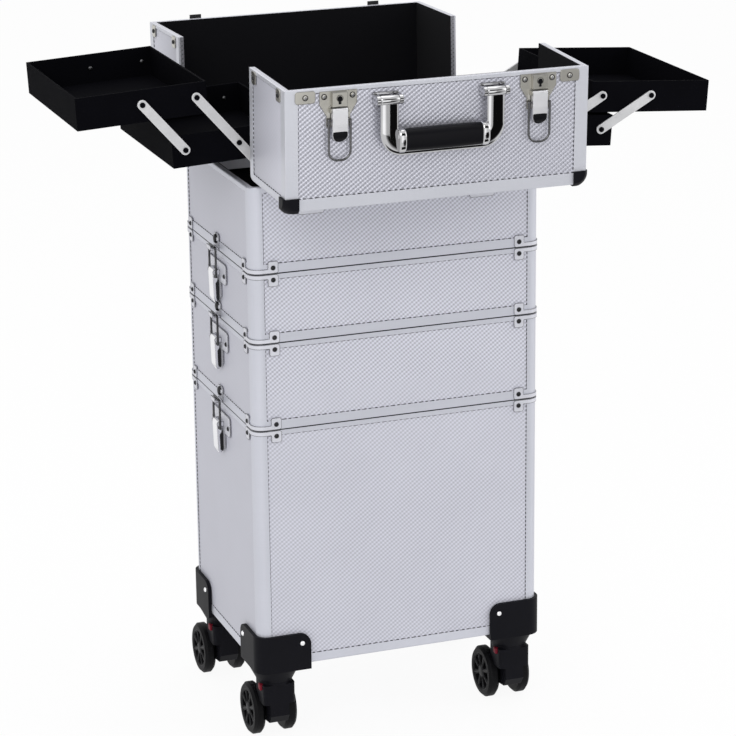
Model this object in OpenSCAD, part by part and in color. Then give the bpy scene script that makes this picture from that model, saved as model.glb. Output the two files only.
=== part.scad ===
// Rolling makeup case: four stacked aluminium tiers on swivel casters, a two-part lid
// and two pairs of cantilever trays. Millimetres, Z up, floor at Z = 0, front towards -Y.

/* [Case] */
// Outer width of every tier
case_w = 340; // [320:1:380]
// Outer depth of every tier
case_d = 244; // [230:1:280]
// Radius of the upright corners
corner_r = 12; // [8:1:15]
// Height of the top tier
tier1_h = 97; // [90:1:120]
// Height of the second tier
tier2_h = 79; // [76:1:110]
// Height of the third tier
tier3_h = 100; // [76:1:130]
// Height of the bottom tier
tier4_h = 283; // [240:1:320]
// Height of the profile round the bottom of a tier and the mouth of a lid
rim_h = 11; // [8:0.5:14]
// Height of the rim round the top of a tier
top_rim_h = 6; // [5:0.5:10]
// Width of a corner post on each face
post_w = 14.5; // [13:0.5:24]
// Thickness of the aluminium profiles
frame_t = 2; // [1.5:0.1:3]
// Depth that the textured panels sit below the profiles
panel_step = 0.8; // [0.4:0.1:1.2]
// Depth of the groove that each seam leaves between two profiles
seam_depth = 0.6; // [0.3:0.1:1]
// Height of one profile's half of that groove
seam_h = 0.7; // [0.4:0.1:1.5]
// Thickness of the panel boards
panel_t = 4.2; // [3:0.1:6]
// Thickness of the black lining
lining_t = 1; // [0.6:0.1:2]
// Thickness of a tier's floor board
floor_t = 5; // [4:0.5:8]
// Depth of the lip that locates one tier in the next
lip_h = 5; // [3:0.5:8]

/* [Lids] */
// Height of the closed lid
lid_h = 117; // [110:1:140]
// Depth of the front lid, from the front face to the meeting edge
front_lid_d = 129; // [120:1:135]
// Angle of the open front lid
front_lid_open = 92; // [90:0.5:96]
// Angle of the open back lid
back_lid_open = 91; // [90:0.5:96]
// Distance of the hinge axis from the case face
hinge_reach = 6; // [5:0.25:8]
// Distance of each hinge from the case's side
hinge_x = 70; // [60:1:80]
// Width of the profile along a lid's outer edge
lid_rim_h = 13; // [10:0.5:16]
// Height of the bare edge profile where the two lids meet
lid_edge_h = 4; // [3:0.5:8]
// Size of the black corner caps
cap_size = 17; // [15:1:24]

/* [Trays] */
// Width of one tray
tray_w = 144; // [130:1:146]
// Room for the arms and their mounts between a tray's end and the lining
tray_room = 8.8; // [7:0.1:14]
// Height of one tray
tray_h = 35; // [28:1:36]
// Thickness of the tray walls
tray_t = 2.2; // [1.5:0.1:3]
// Distance between neighbouring pivots along an arm
arm_len = 70; // [66:1:74]
// Width of an arm
arm_w = 10.5; // [9:0.5:14]
// Thickness of an arm
arm_t = 2; // [1.5:0.1:2.5]
// Distance between the long arm and the upper short arm
upper_link = 60; // [50:1:62]
// Distance between the long arm and the lower short arm
lower_link = 50; // [40:1:54]
// Distance of the upper tray's inner end from the long arm's pivot
pivot_in = 12; // [10:0.5:14]
// Distance that the lower tray reaches further in than the upper one
tray_lag = 58; // [50:1:62]
// Distance of the long arm's base pivot from the middle
base_pivot_x = 129.5; // [126:0.5:132]
// Depth of the base pivot below the top tier's rim
base_pivot_drop = 4; // [2:0.5:6]
// Angle of the left arms from upright
left_arm_angle = 41; // [20:1:60]
// Angle of the right arms from upright
right_arm_angle = 61; // [30:1:62]
// Outward droop of the left trays
left_droop = 3; // [0:0.5:4]
// Outward droop of the right trays
right_droop = 4; // [0:0.5:4]
// Radius of the arm pivots
pivot_r = 2.1; // [1.8:0.1:3]

/* [Latches] */
// Width of a side latch's plate
side_plate_w = 66; // [60:1:76]
// Length of a side latch's loop
side_loop_l = 34; // [32:0.5:38]
// Distance of the loop pivot from the lever pivot
latch_throw = 5; // [4.8:0.1:5.6]
// Distance of each lid latch from the case's side
lid_latch_x = 58; // [54:1:66]
// Radius of the loop wire
wire_r = 1.25; // [1:0.05:1.4]

/* [Handles] */
// Distance of each carry handle pivot from the middle
handle_x = 59.5; // [50:0.5:64]
// Width of each arm of the carry handle
bail_w = 20; // [14:1:22]
// Length of the carry handle's grip
grip_l = 87; // [70:1:94]
// Distance of each trolley tube from the middle
trolley_x = 55; // [45:1:58]
// Outer width of a trolley guide tube
guide_w = 22; // [18:1:26]
// Outer depth of a trolley guide tube
guide_d = 14; // [12:1:18]

/* [Casters] */
// Height of the case above the floor
caster_h = 98; // [94:1:110]
// Radius of a caster wheel
wheel_r = 30.5; // [26:0.5:32]
// Width of one wheel of a pair
wheel_w = 13; // [10:0.5:15]
// Distance between the middles of a pair of wheels
wheel_gap = 38; // [36:1:44]
// Distance of the swivel axis from the side face
swivel_in_x = 25; // [22:1:30]
// Distance of the swivel axis from the front or back face
swivel_in_y = 26; // [22:1:30]
// Distance of the wheel axle behind the swivel axis
trail = 25; // [20:1:28]
// Length of a corner bracket's wings
wing_l = 60; // [54:1:70]
// Height of a corner bracket's wings above the case bottom
wing_h = 38; // [34:1:50]

/* [Fits] */
// Gap between parts that move past each other
gap = 0.3; // [0.2:0.05:0.5]
// Radial clearance of a pin in its bore
fit = 0.05; // [0.02:0.01:0.09]

/* [Hidden] */
$fn = 48;
tiny = 0.01;
wall_t = frame_t + panel_t + lining_t;
half_w = case_w / 2;
half_d = case_d / 2;
z4 = caster_h;
z3 = z4 + tier4_h;
z2 = z3 + tier3_h;
z1 = z2 + tier2_h;
top_z = z1 + tier1_h;
tier_z = [z4, z3, z2, z1];
tier_hs = [tier4_h, tier3_h, tier2_h, tier1_h];
seams = [z3, z2, z1];
lid_gap = 0.6;
back_lid_d = case_d - front_lid_d - lid_gap;

cap_over = 2.5;
cap_in = 0.7 * cap_size;
cap_r = 1.03 * cap_size;
plate_t = 1.2;
rivet_r = 2.6;
rivet_h = 1.4;
knuckle_r = 3.2;
pin_r = 1.6;
hinge_w = 30;
leaf_h = 34;

tray_d = case_d - 2 * wall_t - 2 * tray_room;
arm_y0 = tray_d / 2 + gap;
arm_y1 = arm_y0 + arm_t;
head_y0 = arm_y1 + gap;
head_t = 1.2;
head_r = pivot_r + 0.8;
mount_up = 9;
mount_down = 30;
base_z = top_z - base_pivot_drop;
upper_pivot_u = tray_w - pivot_in;
lower_pivot_u = upper_pivot_u - tray_lag;
pivot_v = tray_h - 16;
bore = pivot_r + fit;
loose_bore = pivot_r + 0.2;

side_pivot_v = -24;
side_pivot_n = 6;
side_loop_v = side_pivot_v - latch_throw;
side_bar_v = side_loop_v + side_loop_l;
lever_w = 17;
ear_in = lever_w / 2 + gap;
ear_out = ear_in + plate_t;
leg_x = ear_out + 0.7 + wire_r;
side_bend = 4;
hook_w = 2 * (leg_x - side_bend) - 1;
hook_reach = 10.5;
hook_plate_h = 18.3;
hook_rivet_v = 13;
lip_t = 1.2;
corner_band_h = 5;
tab_w = 12;
tab_h = 13.6;
tab_front_x = half_w - 25;
tab_side_x = half_d - 23;

hinge_mid = half_w - hinge_x;
latch_mid = half_w - lid_latch_x;
lock_s = 10.5;
lid_pivot_s = 23;
lid_loop_s = 33;
lid_lever_end = 57;
lid_pivot_n = 5;
lid_loop_end = 76;
lid_bend = leg_x - 2;
catch_w = 10;

handle_s = 15;
handle_n = 11;
bail_t = 5;
bail_end = 75;
bail_corner = 25;
ear_t = 4.2;
grip_s = 59;
grip_h = 24;
grip_t = 17;
grip_r = 8;
collar_over = 0.8;

wing_t = 4;
wing_r = 13;
wing_foot_r = 4;
wing_rivet_x = 10.5;
wing_rivet_z = 11.5;
under_t = 6;
fork_top = caster_h - 22;
fork_drop = 27;
fork_w = 38;
neck_low_r = 21;
neck_top_r = 29;
stem_r = 5;
stem_l = 20;
axle_r = 4;
spine_w = wheel_gap - wheel_w - 3;

guide_t = 1.5;
guide_z0 = z4 + 12;
guide_z1 = z3 - 8;

// Basic shapes

module span(low, high) {
    translate(low) cube(high - low);
}

module rounded_rect(w, d, r) {
    square([w - 2 * r, d], center = true);
    square([w, d - 2 * r], center = true);
    for (sx = [-1, 1], sy = [-1, 1])
        translate([sx * (w / 2 - r), sy * (d / 2 - r)]) circle(r);
}

module rod_x(x0, x1, y, z, r) {
    translate([x0, y, z]) rotate([0, 90, 0]) cylinder(h = x1 - x0, r = r);
}

module rod_y(x, y0, y1, z, r) {
    translate([x, y0, z]) rotate([-90, 0, 0]) cylinder(h = y1 - y0, r = r);
}

// A low rivet head standing out of a front face towards -Y
module rivet(x, y, z) {
    translate([x, y, z]) rotate([90, 0, 0]) cylinder(h = rivet_h, r1 = rivet_r, r2 = rivet_r - 1);
}

// Tiers

module plan(inset) {
    rounded_rect(case_w - 2 * inset, case_d - 2 * inset, corner_r - inset);
}

module plan_ring(outer, inner, h) {
    linear_extrude(h) difference() {
        plan(outer);
        plan(inner);
    }
}

// The four face windows that the profiles leave open, from one depth to another
module tier_windows(h, near, far) {
    for (turn = [0, 180]) rotate(turn) {
        span([-half_w + post_w, -half_d + near, rim_h], [half_w - post_w, -half_d + far, h - top_rim_h]);
        span([-half_w + near, -half_d + post_w, rim_h], [-half_w + far, half_d - post_w, h - top_rim_h]);
    }
}

module tier_frame(h) {
    color("silver") difference() {
        plan_ring(0, frame_t, h);
        tier_windows(h, -1, frame_t + 1);
        for (z = [-1, h - seam_h]) translate([0, 0, z]) plan_ring(-1, seam_depth, seam_h + 1);
    }
}

module tier_panels(h, lip) {
    color("gainsboro") {
        plan_ring(frame_t, frame_t + panel_t, h);
        linear_extrude(floor_t) plan(frame_t + tiny);
        tier_windows(h, panel_step, frame_t + 1);
        if (lip) translate([0, 0, -lip_h]) plan_ring(wall_t + 0.4, wall_t + 2.4, lip_h + 1);
    }
}

module tier_lining(h) {
    color("black") {
        translate([0, 0, floor_t]) plan_ring(frame_t + panel_t, wall_t, h - floor_t);
        translate([0, 0, floor_t]) linear_extrude(lining_t) plan(frame_t + panel_t + tiny);
    }
}

module tier1_panels() {
    translate([0, 0, z1]) tier_panels(tier1_h, true);
}

module tier1_frame() {
    translate([0, 0, z1]) tier_frame(tier1_h);
}

module tier2_panels() {
    translate([0, 0, z2]) tier_panels(tier2_h, true);
}

module tier2_frame() {
    translate([0, 0, z2]) tier_frame(tier2_h);
}

module tier3_panels() {
    translate([0, 0, z3]) tier_panels(tier3_h, true);
}

module tier3_frame() {
    translate([0, 0, z3]) tier_frame(tier3_h);
}

module tier4_panels() {
    translate([0, 0, z4]) tier_panels(tier4_h, false);
}

module tier4_frame() {
    translate([0, 0, z4]) tier_frame(tier4_h);
}

module tier_linings() {
    for (i = [0 : 3]) translate([0, 0, tier_z[i]]) tier_lining(tier_hs[i]);
}

// Side latches, drawn on a front face with the seam at Z = 0 and outwards along -Y

// Moves a latch from the front face to the left (-1) or right (1) face at a seam
module on_side(side, seam) {
    translate([side * half_w, 0, seam]) rotate(side * 90) children();
}

module side_latch_base() {
    rotate([90, 0, 0]) linear_extrude(plate_t) {
        translate([0, side_pivot_v + 1]) rounded_rect(side_plate_w, 24, 5);
        translate([0, side_pivot_v - 12.5]) rounded_rect(26, 37, 6);
    }
    for (sx = [-1, 1]) {
        ear = [sx * ear_in, sx * ear_out];
        rod_x(min(ear), max(ear), -side_pivot_n, side_pivot_v, 3.2);
        span([min(ear), -side_pivot_n, side_pivot_v - 3], [max(ear), 0, side_pivot_v + 3]);
        rivet(sx * (side_plate_w / 2 - 6), -plate_t, side_pivot_v - 1);
    }
    rod_x(-ear_out, ear_out, -side_pivot_n, side_pivot_v, pin_r);
}

module side_latch_hook() {
    bar_low = side_bar_v - wire_r - 0.1;
    rotate([90, 0, 0]) linear_extrude(plate_t)
        translate([0, seam_h + hook_plate_h / 2]) rounded_rect(18, hook_plate_h, 4);
    span([-hook_w / 2, -hook_reach, bar_low - 2.4], [hook_w / 2, 0, bar_low]);
    span([-hook_w / 2, -hook_reach, bar_low - 2.4], [hook_w / 2, lip_t - hook_reach, bar_low + 2.8]);
    for (sx = [-1, 1]) rivet(sx * 5, -plate_t, hook_rivet_v);
}

module side_lever() {
    color("silver") difference() {
        union() {
            rod_x(-lever_w / 2, lever_w / 2, -side_pivot_n, side_pivot_v, 3);
            intersection() {
                rotate([90, 0, 90]) translate([0, 0, -lever_w / 2]) linear_extrude(lever_w) polygon([
                    [-8.9, side_pivot_v], [-3.6, side_pivot_v - 1], [-3.4, side_pivot_v - 10],
                    [-5.6, side_pivot_v - 13], [-5.2, side_pivot_v - 30], [-2.6, side_pivot_v - 36],
                    [-5, side_pivot_v - 37], [-8, side_pivot_v - 31]]);
                rotate([90, 0, 0]) linear_extrude(20) {
                    translate([0, side_pivot_v - 28.5]) circle(lever_w / 2);
                    translate([-lever_w / 2, side_pivot_v - 28.5]) square([lever_w, 40]);
                }
            }
        }
        rod_x(-lever_w, lever_w, -side_pivot_n, side_pivot_v, pin_r + fit);
        for (sx = [-1, 1])
            rod_x(sx * lever_w / 2 - 2, sx * lever_w / 2 + 2, -side_pivot_n, side_loop_v, wire_r + fit);
    }
}

// A wire loop in the plane Y = 0 whose ends turn in at Z = 0 and whose bar lies at Z = l
module wire_loop(l, leg, bend, tip) {
    rotate([90, 0, 0]) {
        for (sx = [-1, 1]) {
            rod_x(min(sx * tip, sx * leg), max(sx * tip, sx * leg), 0, 0, wire_r);
            translate([sx * leg, 0, 0]) sphere(wire_r);
            rod_y(sx * leg, 0, l - bend, 0, wire_r);
            translate([sx * (leg - bend), l - bend, 0]) rotate(sx > 0 ? 0 : 90)
                rotate_extrude(angle = 90) translate([bend, 0]) circle(wire_r);
        }
        rod_x(-leg + bend, leg - bend, l, 0, wire_r);
    }
}

module side_loop() {
    color("silver") translate([0, -side_pivot_n, side_loop_v])
        wire_loop(side_loop_l, leg_x, side_bend, lever_w / 2 - 1.8);
}

module left_lever1() {
    on_side(-1, z1) side_lever();
}

module left_loop1() {
    on_side(-1, z1) side_loop();
}

module left_lever2() {
    on_side(-1, z2) side_lever();
}

module left_loop2() {
    on_side(-1, z2) side_loop();
}

module left_lever3() {
    on_side(-1, z3) side_lever();
}

module left_loop3() {
    on_side(-1, z3) side_loop();
}

module right_lever1() {
    on_side(1, z1) side_lever();
}

module right_loop1() {
    on_side(1, z1) side_loop();
}

module right_lever2() {
    on_side(1, z2) side_lever();
}

module right_loop2() {
    on_side(1, z2) side_loop();
}

module right_lever3() {
    on_side(1, z3) side_lever();
}

module right_loop3() {
    on_side(1, z3) side_loop();
}

// The riveted tabs at one end of a pair of corner plates, above and below a seam
module corner_tabs(x) {
    for (up = [-1, 1]) {
        rotate([90, 0, 0]) linear_extrude(plate_t)
            translate([x, up * (seam_h + tab_h / 2)]) rounded_rect(tab_w, tab_h, 2.5);
        rivet(x, -plate_t, up * tab_h / 2);
    }
}

// The bands of a pair of corner plates, bent round the front left corner between their tabs
module corner_bands(seam) {
    for (z = [seam - seam_h - corner_band_h, seam + seam_h]) intersection() {
        translate([0, 0, z]) plan_ring(-plate_t, 0, corner_band_h);
        span([-half_w - 9, -half_d - 9, z - 1], [-tab_front_x, -tab_side_x, z + corner_band_h + 1]);
    }
}

module case_fittings() {
    color("lightgray") {
        for (seam = seams) {
            for (side = [-1, 1]) on_side(side, seam) {
                side_latch_base();
                side_latch_hook();
            }
            for (turn = [0, 180], sx = [-1, 1])
                rotate(turn) translate([0, -half_d, seam]) corner_tabs(sx * tab_front_x);
            for (side = [-1, 1], sx = [-1, 1]) on_side(side, seam) corner_tabs(sx * tab_side_x);
            for (fx = [0, 1], fy = [0, 1]) mirror([fx, 0, 0]) mirror([0, fy, 0]) corner_bands(seam);
        }
        for (turn = [0, 180], sx = [-1, 1]) rotate(turn) {
            rivet(sx * (half_w - wing_l + wing_rivet_x), -half_d - wing_t, z4 + wing_h - wing_rivet_z);
        }
        for (side = [-1, 1], sx = [-1, 1])
            on_side(side, z4)
                rivet(sx * (half_d - wing_l + wing_rivet_x), -wing_t, wing_h - wing_rivet_z);
    }
}

// Hinges between the top tier and the lids

// A hinge leaf on the front face; dir is -1 below the axis and 1 above it
module hinge_leaf(dir, knuckles, h) {
    rotate([90, 0, 0]) linear_extrude(plate_t)
        translate([0, dir * (h / 2 + 0.4)]) rounded_rect(hinge_w, h - 0.8, 3);
    for (k = knuckles) {
        rod_x(k[0], k[1], -hinge_reach, 0, knuckle_r);
        span([k[0], -hinge_reach, min(0, dir * knuckle_r)], [k[1], 0, max(0, dir * knuckle_r)]);
    }
    for (sx = [-1, 1]) rivet(sx * 9, -plate_t, dir * (h - 7));
}

module fixed_hinge() {
    difference() {
        hinge_leaf(-1, [[-hinge_w / 2, -5.3], [5.3, hinge_w / 2]], leaf_h);
        span([-5.3, -hinge_reach - 4, -4], [5.3, -plate_t, 4]);
    }
    rod_x(-hinge_w / 2, hinge_w / 2, -hinge_reach, 0, pin_r);
}

module lid_hinge() {
    difference() {
        hinge_leaf(1, [[-5, 5]], 20);
        rod_x(-6, 6, -hinge_reach, 0, pin_r + fit);
    }
}

// A plate inside the front or back wall that carries the two base pivots of one side's arms
module tray_mount(side, droop) {
    plate_x0 = base_pivot_x - lower_link - arm_w;
    plate_x1 = base_pivot_x + arm_w;
    shift = lower_link * sin(droop);
    for (end = [-1, 1]) {
        ys = [end * head_y0, end * (half_d - wall_t)];
        xs = [side * plate_x0, side * plate_x1];
        span([min(xs), min(ys), base_z - mount_down], [max(xs), max(ys), base_z + mount_up]);
        for (p = [[base_pivot_x, base_z], [base_pivot_x - lower_link * cos(droop), base_z + shift]]) {
            rod_y(side * p[0], end > 0 ? arm_y0 - gap : -head_y0 - tiny,
                  end > 0 ? head_y0 + tiny : -arm_y0 + gap, p[1], pivot_r);
            rod_y(side * p[0], end > 0 ? arm_y0 - gap - head_t : -arm_y0 + gap - tiny,
                  end > 0 ? arm_y0 - gap + tiny : -arm_y0 + gap + head_t, p[1], head_r);
        }
    }
}

module tier1_fittings() {
    color("lightgray") {
        for (turn = [0, 180], sx = [-1, 1])
            rotate(turn) translate([sx * hinge_mid, -half_d, top_z]) fixed_hinge();
        tray_mount(-1, left_droop);
        tray_mount(1, right_droop);
    }
}

// Lids, drawn closed with the outer wall at Y = 0 and the rim at Z = 0

module lid_place(turn, open) {
    rotate(turn) translate([0, -half_d - hinge_reach, top_z]) rotate([open, 0, 0])
        translate([0, hinge_reach, 0]) children();
}

module lid_plan(d, inset) {
    intersection() {
        translate([0, d]) rounded_rect(case_w - 2 * inset, 2 * d - 2 * inset, corner_r - inset);
        translate([-half_w, 0]) square([case_w, d]);
    }
}

module lid_block(d, inset, z0, z1) {
    translate([0, 0, z0]) linear_extrude(z1 - z0) lid_plan(d, inset);
}

// The windows of the front wall, the two side walls and the top, from one depth to another
module lid_windows(d, near, far) {
    span([-half_w + post_w, near, rim_h], [half_w - post_w, far, lid_h - lid_rim_h]);
    for (sx = [-1, 1]) {
        edges = [sx * (half_w - near), sx * (half_w - far)];
        span([min(edges), post_w, rim_h], [max(edges), d - lid_edge_h, lid_h - lid_rim_h]);
    }
    span([-half_w + post_w, lid_rim_h, lid_h - far], [half_w - post_w, d - lid_edge_h, lid_h - near]);
}

// The square notches at the two outer corners, where the black caps sit
module lid_notches() {
    for (sx = [-1, 1])
        span([min(sx * half_w, sx * (half_w - wall_t)), 0, lid_h - wall_t],
             [max(sx * half_w, sx * (half_w - wall_t)), wall_t, lid_h]);
}

module lid_frame(d) {
    color("silver") difference() {
        lid_block(d, 0, 0, lid_h);
        lid_block(d + 1, frame_t, -1, lid_h - frame_t);
        lid_windows(d, -1, frame_t + 1);
        lid_notches();
    }
}

module lid_panels(d) {
    color("gainsboro") difference() {
        union() {
            lid_block(d, frame_t, 0, lid_h - frame_t);
            lid_windows(d, panel_step, frame_t + 1);
        }
        lid_block(d + 1, frame_t + panel_t, -1, lid_h - frame_t - panel_t);
        lid_notches();
    }
}

module lid_lining(d) {
    color("black") difference() {
        lid_block(d, frame_t + panel_t, 0, lid_h - frame_t - panel_t);
        lid_block(d + 1, wall_t, -1, lid_h - wall_t);
        lid_notches();
    }
}

module lid_caps() {
    color("black") for (sx = [-1, 1]) difference() {
        intersection() {
            xs = [sx * (half_w + cap_over), sx * (half_w + cap_over - cap_size)];
            span([min(xs), -cap_over, lid_h + cap_over - cap_size],
                 [max(xs), cap_size - cap_over, lid_h + cap_over]);
            translate([sx * (half_w - cap_in), cap_in, lid_h - cap_in]) sphere(cap_r);
        }
        difference() {
            span([-half_w, 0, 0], [half_w, front_lid_d, lid_h]);
            lid_notches();
        }
    }
}

// Moves a fitting to the lid's top panel: X along the meeting edge, -Y away from it, Z outwards
module on_lid_top(d, x) {
    translate([x, d, lid_h]) children();
}

// The lock's plate, which narrows to the ears of the lever, and its raised box with a keyhole
module lid_latch_plate() {
    waist = [-lid_pivot_s + 6, -lid_pivot_s - 6];
    foot = -lid_pivot_s - 18;
    difference() {
        union() {
            linear_extrude(plate_t) polygon([[-20.5, -3], [20.5, -3], [20.5, waist[0]], [13, waist[1]],
                                             [13, foot], [-13, foot], [-13, waist[1]], [-20.5, waist[0]]]);
            span([-8.2, -lid_pivot_s + 4, 0], [8.2, -4, 6.5]);
            for (sx = [-1, 1]) {
                ear = [sx * ear_in, sx * ear_out];
                span([min(ear), -lid_pivot_s - 2.6, 0], [max(ear), -lid_pivot_s + 2.6, lid_pivot_n]);
                rod_x(min(ear), max(ear), -lid_pivot_s, lid_pivot_n, 2.6);
                translate([sx * 15.5, -lock_s + 2, plate_t])
                    cylinder(h = rivet_h, r1 = rivet_r, r2 = rivet_r - 1);
            }
            rod_x(-ear_out, ear_out, -lid_pivot_s, lid_pivot_n, pin_r);
        }
        translate([0, -lock_s, 4]) cylinder(h = 4, r = 2.8);
        span([-1.1, -lock_s - 5.5, 4], [1.1, -lock_s, 8]);
    }
}

module lid_lever() {
    color("silver") difference() {
        union() {
            rod_x(-lever_w / 2, lever_w / 2, -lid_pivot_s, lid_pivot_n, 2.6);
            intersection() {
                rotate([90, 0, 90]) translate([0, 0, -lever_w / 2]) linear_extrude(lever_w) polygon([
                    [-lid_pivot_s, 7.6], [-lid_pivot_s - 1.5, 3.2], [-lid_loop_s + 3, 2.6],
                    [-lid_loop_s - 4, 2.6], [-lid_loop_s - 6, 4.4], [-lid_lever_end + 5, 4.6],
                    [-lid_lever_end + 1, 2.4], [-lid_lever_end, 3.6], [-lid_lever_end + 5, 7],
                    [-lid_loop_s - 5, 7.6]]);
                linear_extrude(10) {
                    translate([0, -lid_lever_end + lever_w / 2]) circle(lever_w / 2);
                    translate([-lever_w / 2, -lid_lever_end + lever_w / 2])
                        square([lever_w, lid_lever_end - lid_pivot_s]);
                }
            }
        }
        rod_x(-lever_w, lever_w, -lid_pivot_s, lid_pivot_n, pin_r + fit);
        for (sx = [-1, 1])
            rod_x(sx * lever_w / 2 - 2, sx * lever_w / 2 + 2, -lid_loop_s, lid_pivot_n, wire_r + fit);
    }
}

module lid_loop() {
    color("silver") translate([0, -lid_loop_s, lid_pivot_n]) rotate([90, 0, 0])
        wire_loop(lid_loop_end - lid_loop_s, leg_x, lid_bend, lever_w / 2 - 1.8);
}

// A plate, two ears and a pin that carry one arm of the carry handle
module handle_bracket() {
    linear_extrude(1.5) translate([0, -handle_s]) rounded_rect(bail_w + 2 * gap + 2 * ear_t, 13, 2);
    for (sx = [-1, 1]) {
        ear = [sx * (bail_w / 2 + gap), sx * (bail_w / 2 + gap + ear_t)];
        span([min(ear), -handle_s - 5, 0], [max(ear), -handle_s + 5, handle_n]);
        rod_x(min(ear), max(ear), -handle_s, handle_n, 5);
    }
    rod_x(-bail_w / 2 - ear_t, bail_w / 2 + ear_t, -handle_s, handle_n, 2.2);
}

// The riveted plates at one end of a lid's meeting edge: one on the top panel and two on the side wall
module lid_corner_plates(sx, d) {
    translate([sx * (half_w - 22), d - 8, lid_h]) {
        linear_extrude(plate_t) rounded_rect(22, 13, 3);
        translate([0, 0, plate_t]) cylinder(h = rivet_h, r1 = rivet_r, r2 = rivet_r - 1);
    }
    for (z = [rim_h + tab_w / 2, lid_h - lid_rim_h - tab_w / 2])
        translate([sx * half_w, d - tab_h / 2 - 1, z]) rotate([0, sx * 90, 0]) {
            linear_extrude(plate_t) rounded_rect(tab_w, tab_h, 2.5);
            translate([0, 0, plate_t]) cylinder(h = rivet_h, r1 = rivet_r, r2 = rivet_r - 1);
        }
}

module front_lid_panels() {
    lid_place(0, front_lid_open) lid_panels(front_lid_d);
}

module front_lid_frame() {
    lid_place(0, front_lid_open) lid_frame(front_lid_d);
}

module front_lid_lining() {
    lid_place(0, front_lid_open) lid_lining(front_lid_d);
}

module front_lid_caps() {
    lid_place(0, front_lid_open) lid_caps();
}

module front_lid_fittings() {
    color("lightgray") lid_place(0, front_lid_open) {
        for (sx = [-1, 1]) {
            translate([sx * hinge_mid, 0, 0]) lid_hinge();
            on_lid_top(front_lid_d, sx * latch_mid) lid_latch_plate();
            on_lid_top(front_lid_d, sx * handle_x) handle_bracket();
            lid_corner_plates(sx, front_lid_d);
        }
    }
}

module left_lid_lever() {
    lid_place(0, front_lid_open) on_lid_top(front_lid_d, -latch_mid) lid_lever();
}

module left_lid_loop() {
    lid_place(0, front_lid_open) on_lid_top(front_lid_d, -latch_mid) lid_loop();
}

module right_lid_lever() {
    lid_place(0, front_lid_open) on_lid_top(front_lid_d, latch_mid) lid_lever();
}

module right_lid_loop() {
    lid_place(0, front_lid_open) on_lid_top(front_lid_d, latch_mid) lid_loop();
}

// The outline of the bail, seen from outside: two wide arms, round at the lower corners, and a lower bar
module bail_outline() {
    window_w = 2 * handle_x - bail_w;
    difference() {
        translate([0, -bail_end / 2]) rounded_rect(2 * handle_x + bail_w, bail_end, bail_corner);
        translate([-window_w / 2, -grip_s + 4]) square([window_w, bail_end]);
        translate([-half_w, -handle_s]) square([case_w, bail_end]);
    }
}

module bail_solid() {
    translate([0, 0, handle_n - bail_t / 2]) linear_extrude(bail_t) bail_outline();
}

// The plated collar that joins one end of the grip to the bail's arm
module grip_collar(sx) {
    xs = [sx * grip_l / 2, sx * (handle_x - bail_w / 2 + 1)];
    translate([min(xs), -grip_s, handle_n]) rotate([90, 0, 90]) linear_extrude(max(xs) - min(xs))
        rounded_rect(grip_h + 2 * collar_over, grip_t + 2 * collar_over, grip_r + collar_over);
}

module handle_bail() {
    color("silver") lid_place(0, front_lid_open) on_lid_top(front_lid_d, 0) difference() {
        union() {
            bail_solid();
            for (sx = [-1, 1]) {
                rod_x(sx * handle_x - bail_w / 2, sx * handle_x + bail_w / 2, -handle_s, handle_n, 5);
                grip_collar(sx);
            }
        }
        for (sx = [-1, 1])
            rod_x(sx * handle_x - bail_w, sx * handle_x + bail_w, -handle_s, handle_n, 2.2 + fit);
    }
}

module handle_grip() {
    color("black") lid_place(0, front_lid_open) on_lid_top(front_lid_d, 0) difference() {
        translate([-grip_l / 2, -grip_s, handle_n]) rotate([90, 0, 90]) linear_extrude(grip_l)
            rounded_rect(grip_h, grip_t, grip_r);
        bail_solid();
    }
}

module back_lid_panels() {
    lid_place(180, back_lid_open) lid_panels(back_lid_d);
}

module back_lid_frame() {
    lid_place(180, back_lid_open) lid_frame(back_lid_d);
}

module back_lid_lining() {
    lid_place(180, back_lid_open) lid_lining(back_lid_d);
}

module back_lid_caps() {
    lid_place(180, back_lid_open) lid_caps();
}

// A catch at the back lid's meeting edge that the front lid's loop hooks over
module lid_catch() {
    linear_extrude(plate_t) translate([0, -12]) rounded_rect(26, 20, 4);
    span([-catch_w / 2, -2.6, 0], [catch_w / 2, -0.6, 8]);
    for (sx = [-1, 1])
        translate([sx * 8, -15, plate_t]) cylinder(h = rivet_h, r1 = rivet_r, r2 = rivet_r - 1);
}

module back_lid_fittings() {
    color("lightgray") lid_place(180, back_lid_open) for (sx = [-1, 1]) {
        translate([sx * hinge_mid, 0, 0]) lid_hinge();
        on_lid_top(back_lid_d, sx * latch_mid) lid_catch();
        lid_corner_plates(sx, back_lid_d);
    }
}

// Cantilever trays: every pivot of one side lies on a parallelogram, so the trays stay parallel

// A point on one side's linkage: links steps along the arms from the base, then across by u
function on_link(side, angle, droop, links, u) = [
    side * (base_pivot_x + links * arm_len * sin(angle) + u * cos(droop)),
    base_z + links * arm_len * cos(angle) - u * sin(droop)];

// A pair of flat arms, front and back, that lean outwards from their first pivot
module arm_pair(side, angle, first, bores) {
    reach = (len(bores) - 1) * arm_len;
    middle = (arm_y0 + arm_y1) / 2;
    color("gray") for (end = [-1, 1])
        translate([first[0], end * middle, first[1]]) rotate([90, side * angle, 0]) difference() {
            linear_extrude(arm_t, center = true) {
                circle(arm_w / 2);
                translate([0, reach]) circle(arm_w / 2);
                translate([-arm_w / 2, 0]) square([arm_w, reach]);
            }
            for (i = [0 : len(bores) - 1]) translate([0, i * arm_len, 0])
                cylinder(h = 3 * arm_t, r = bores[i], center = true);
        }
}

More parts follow.
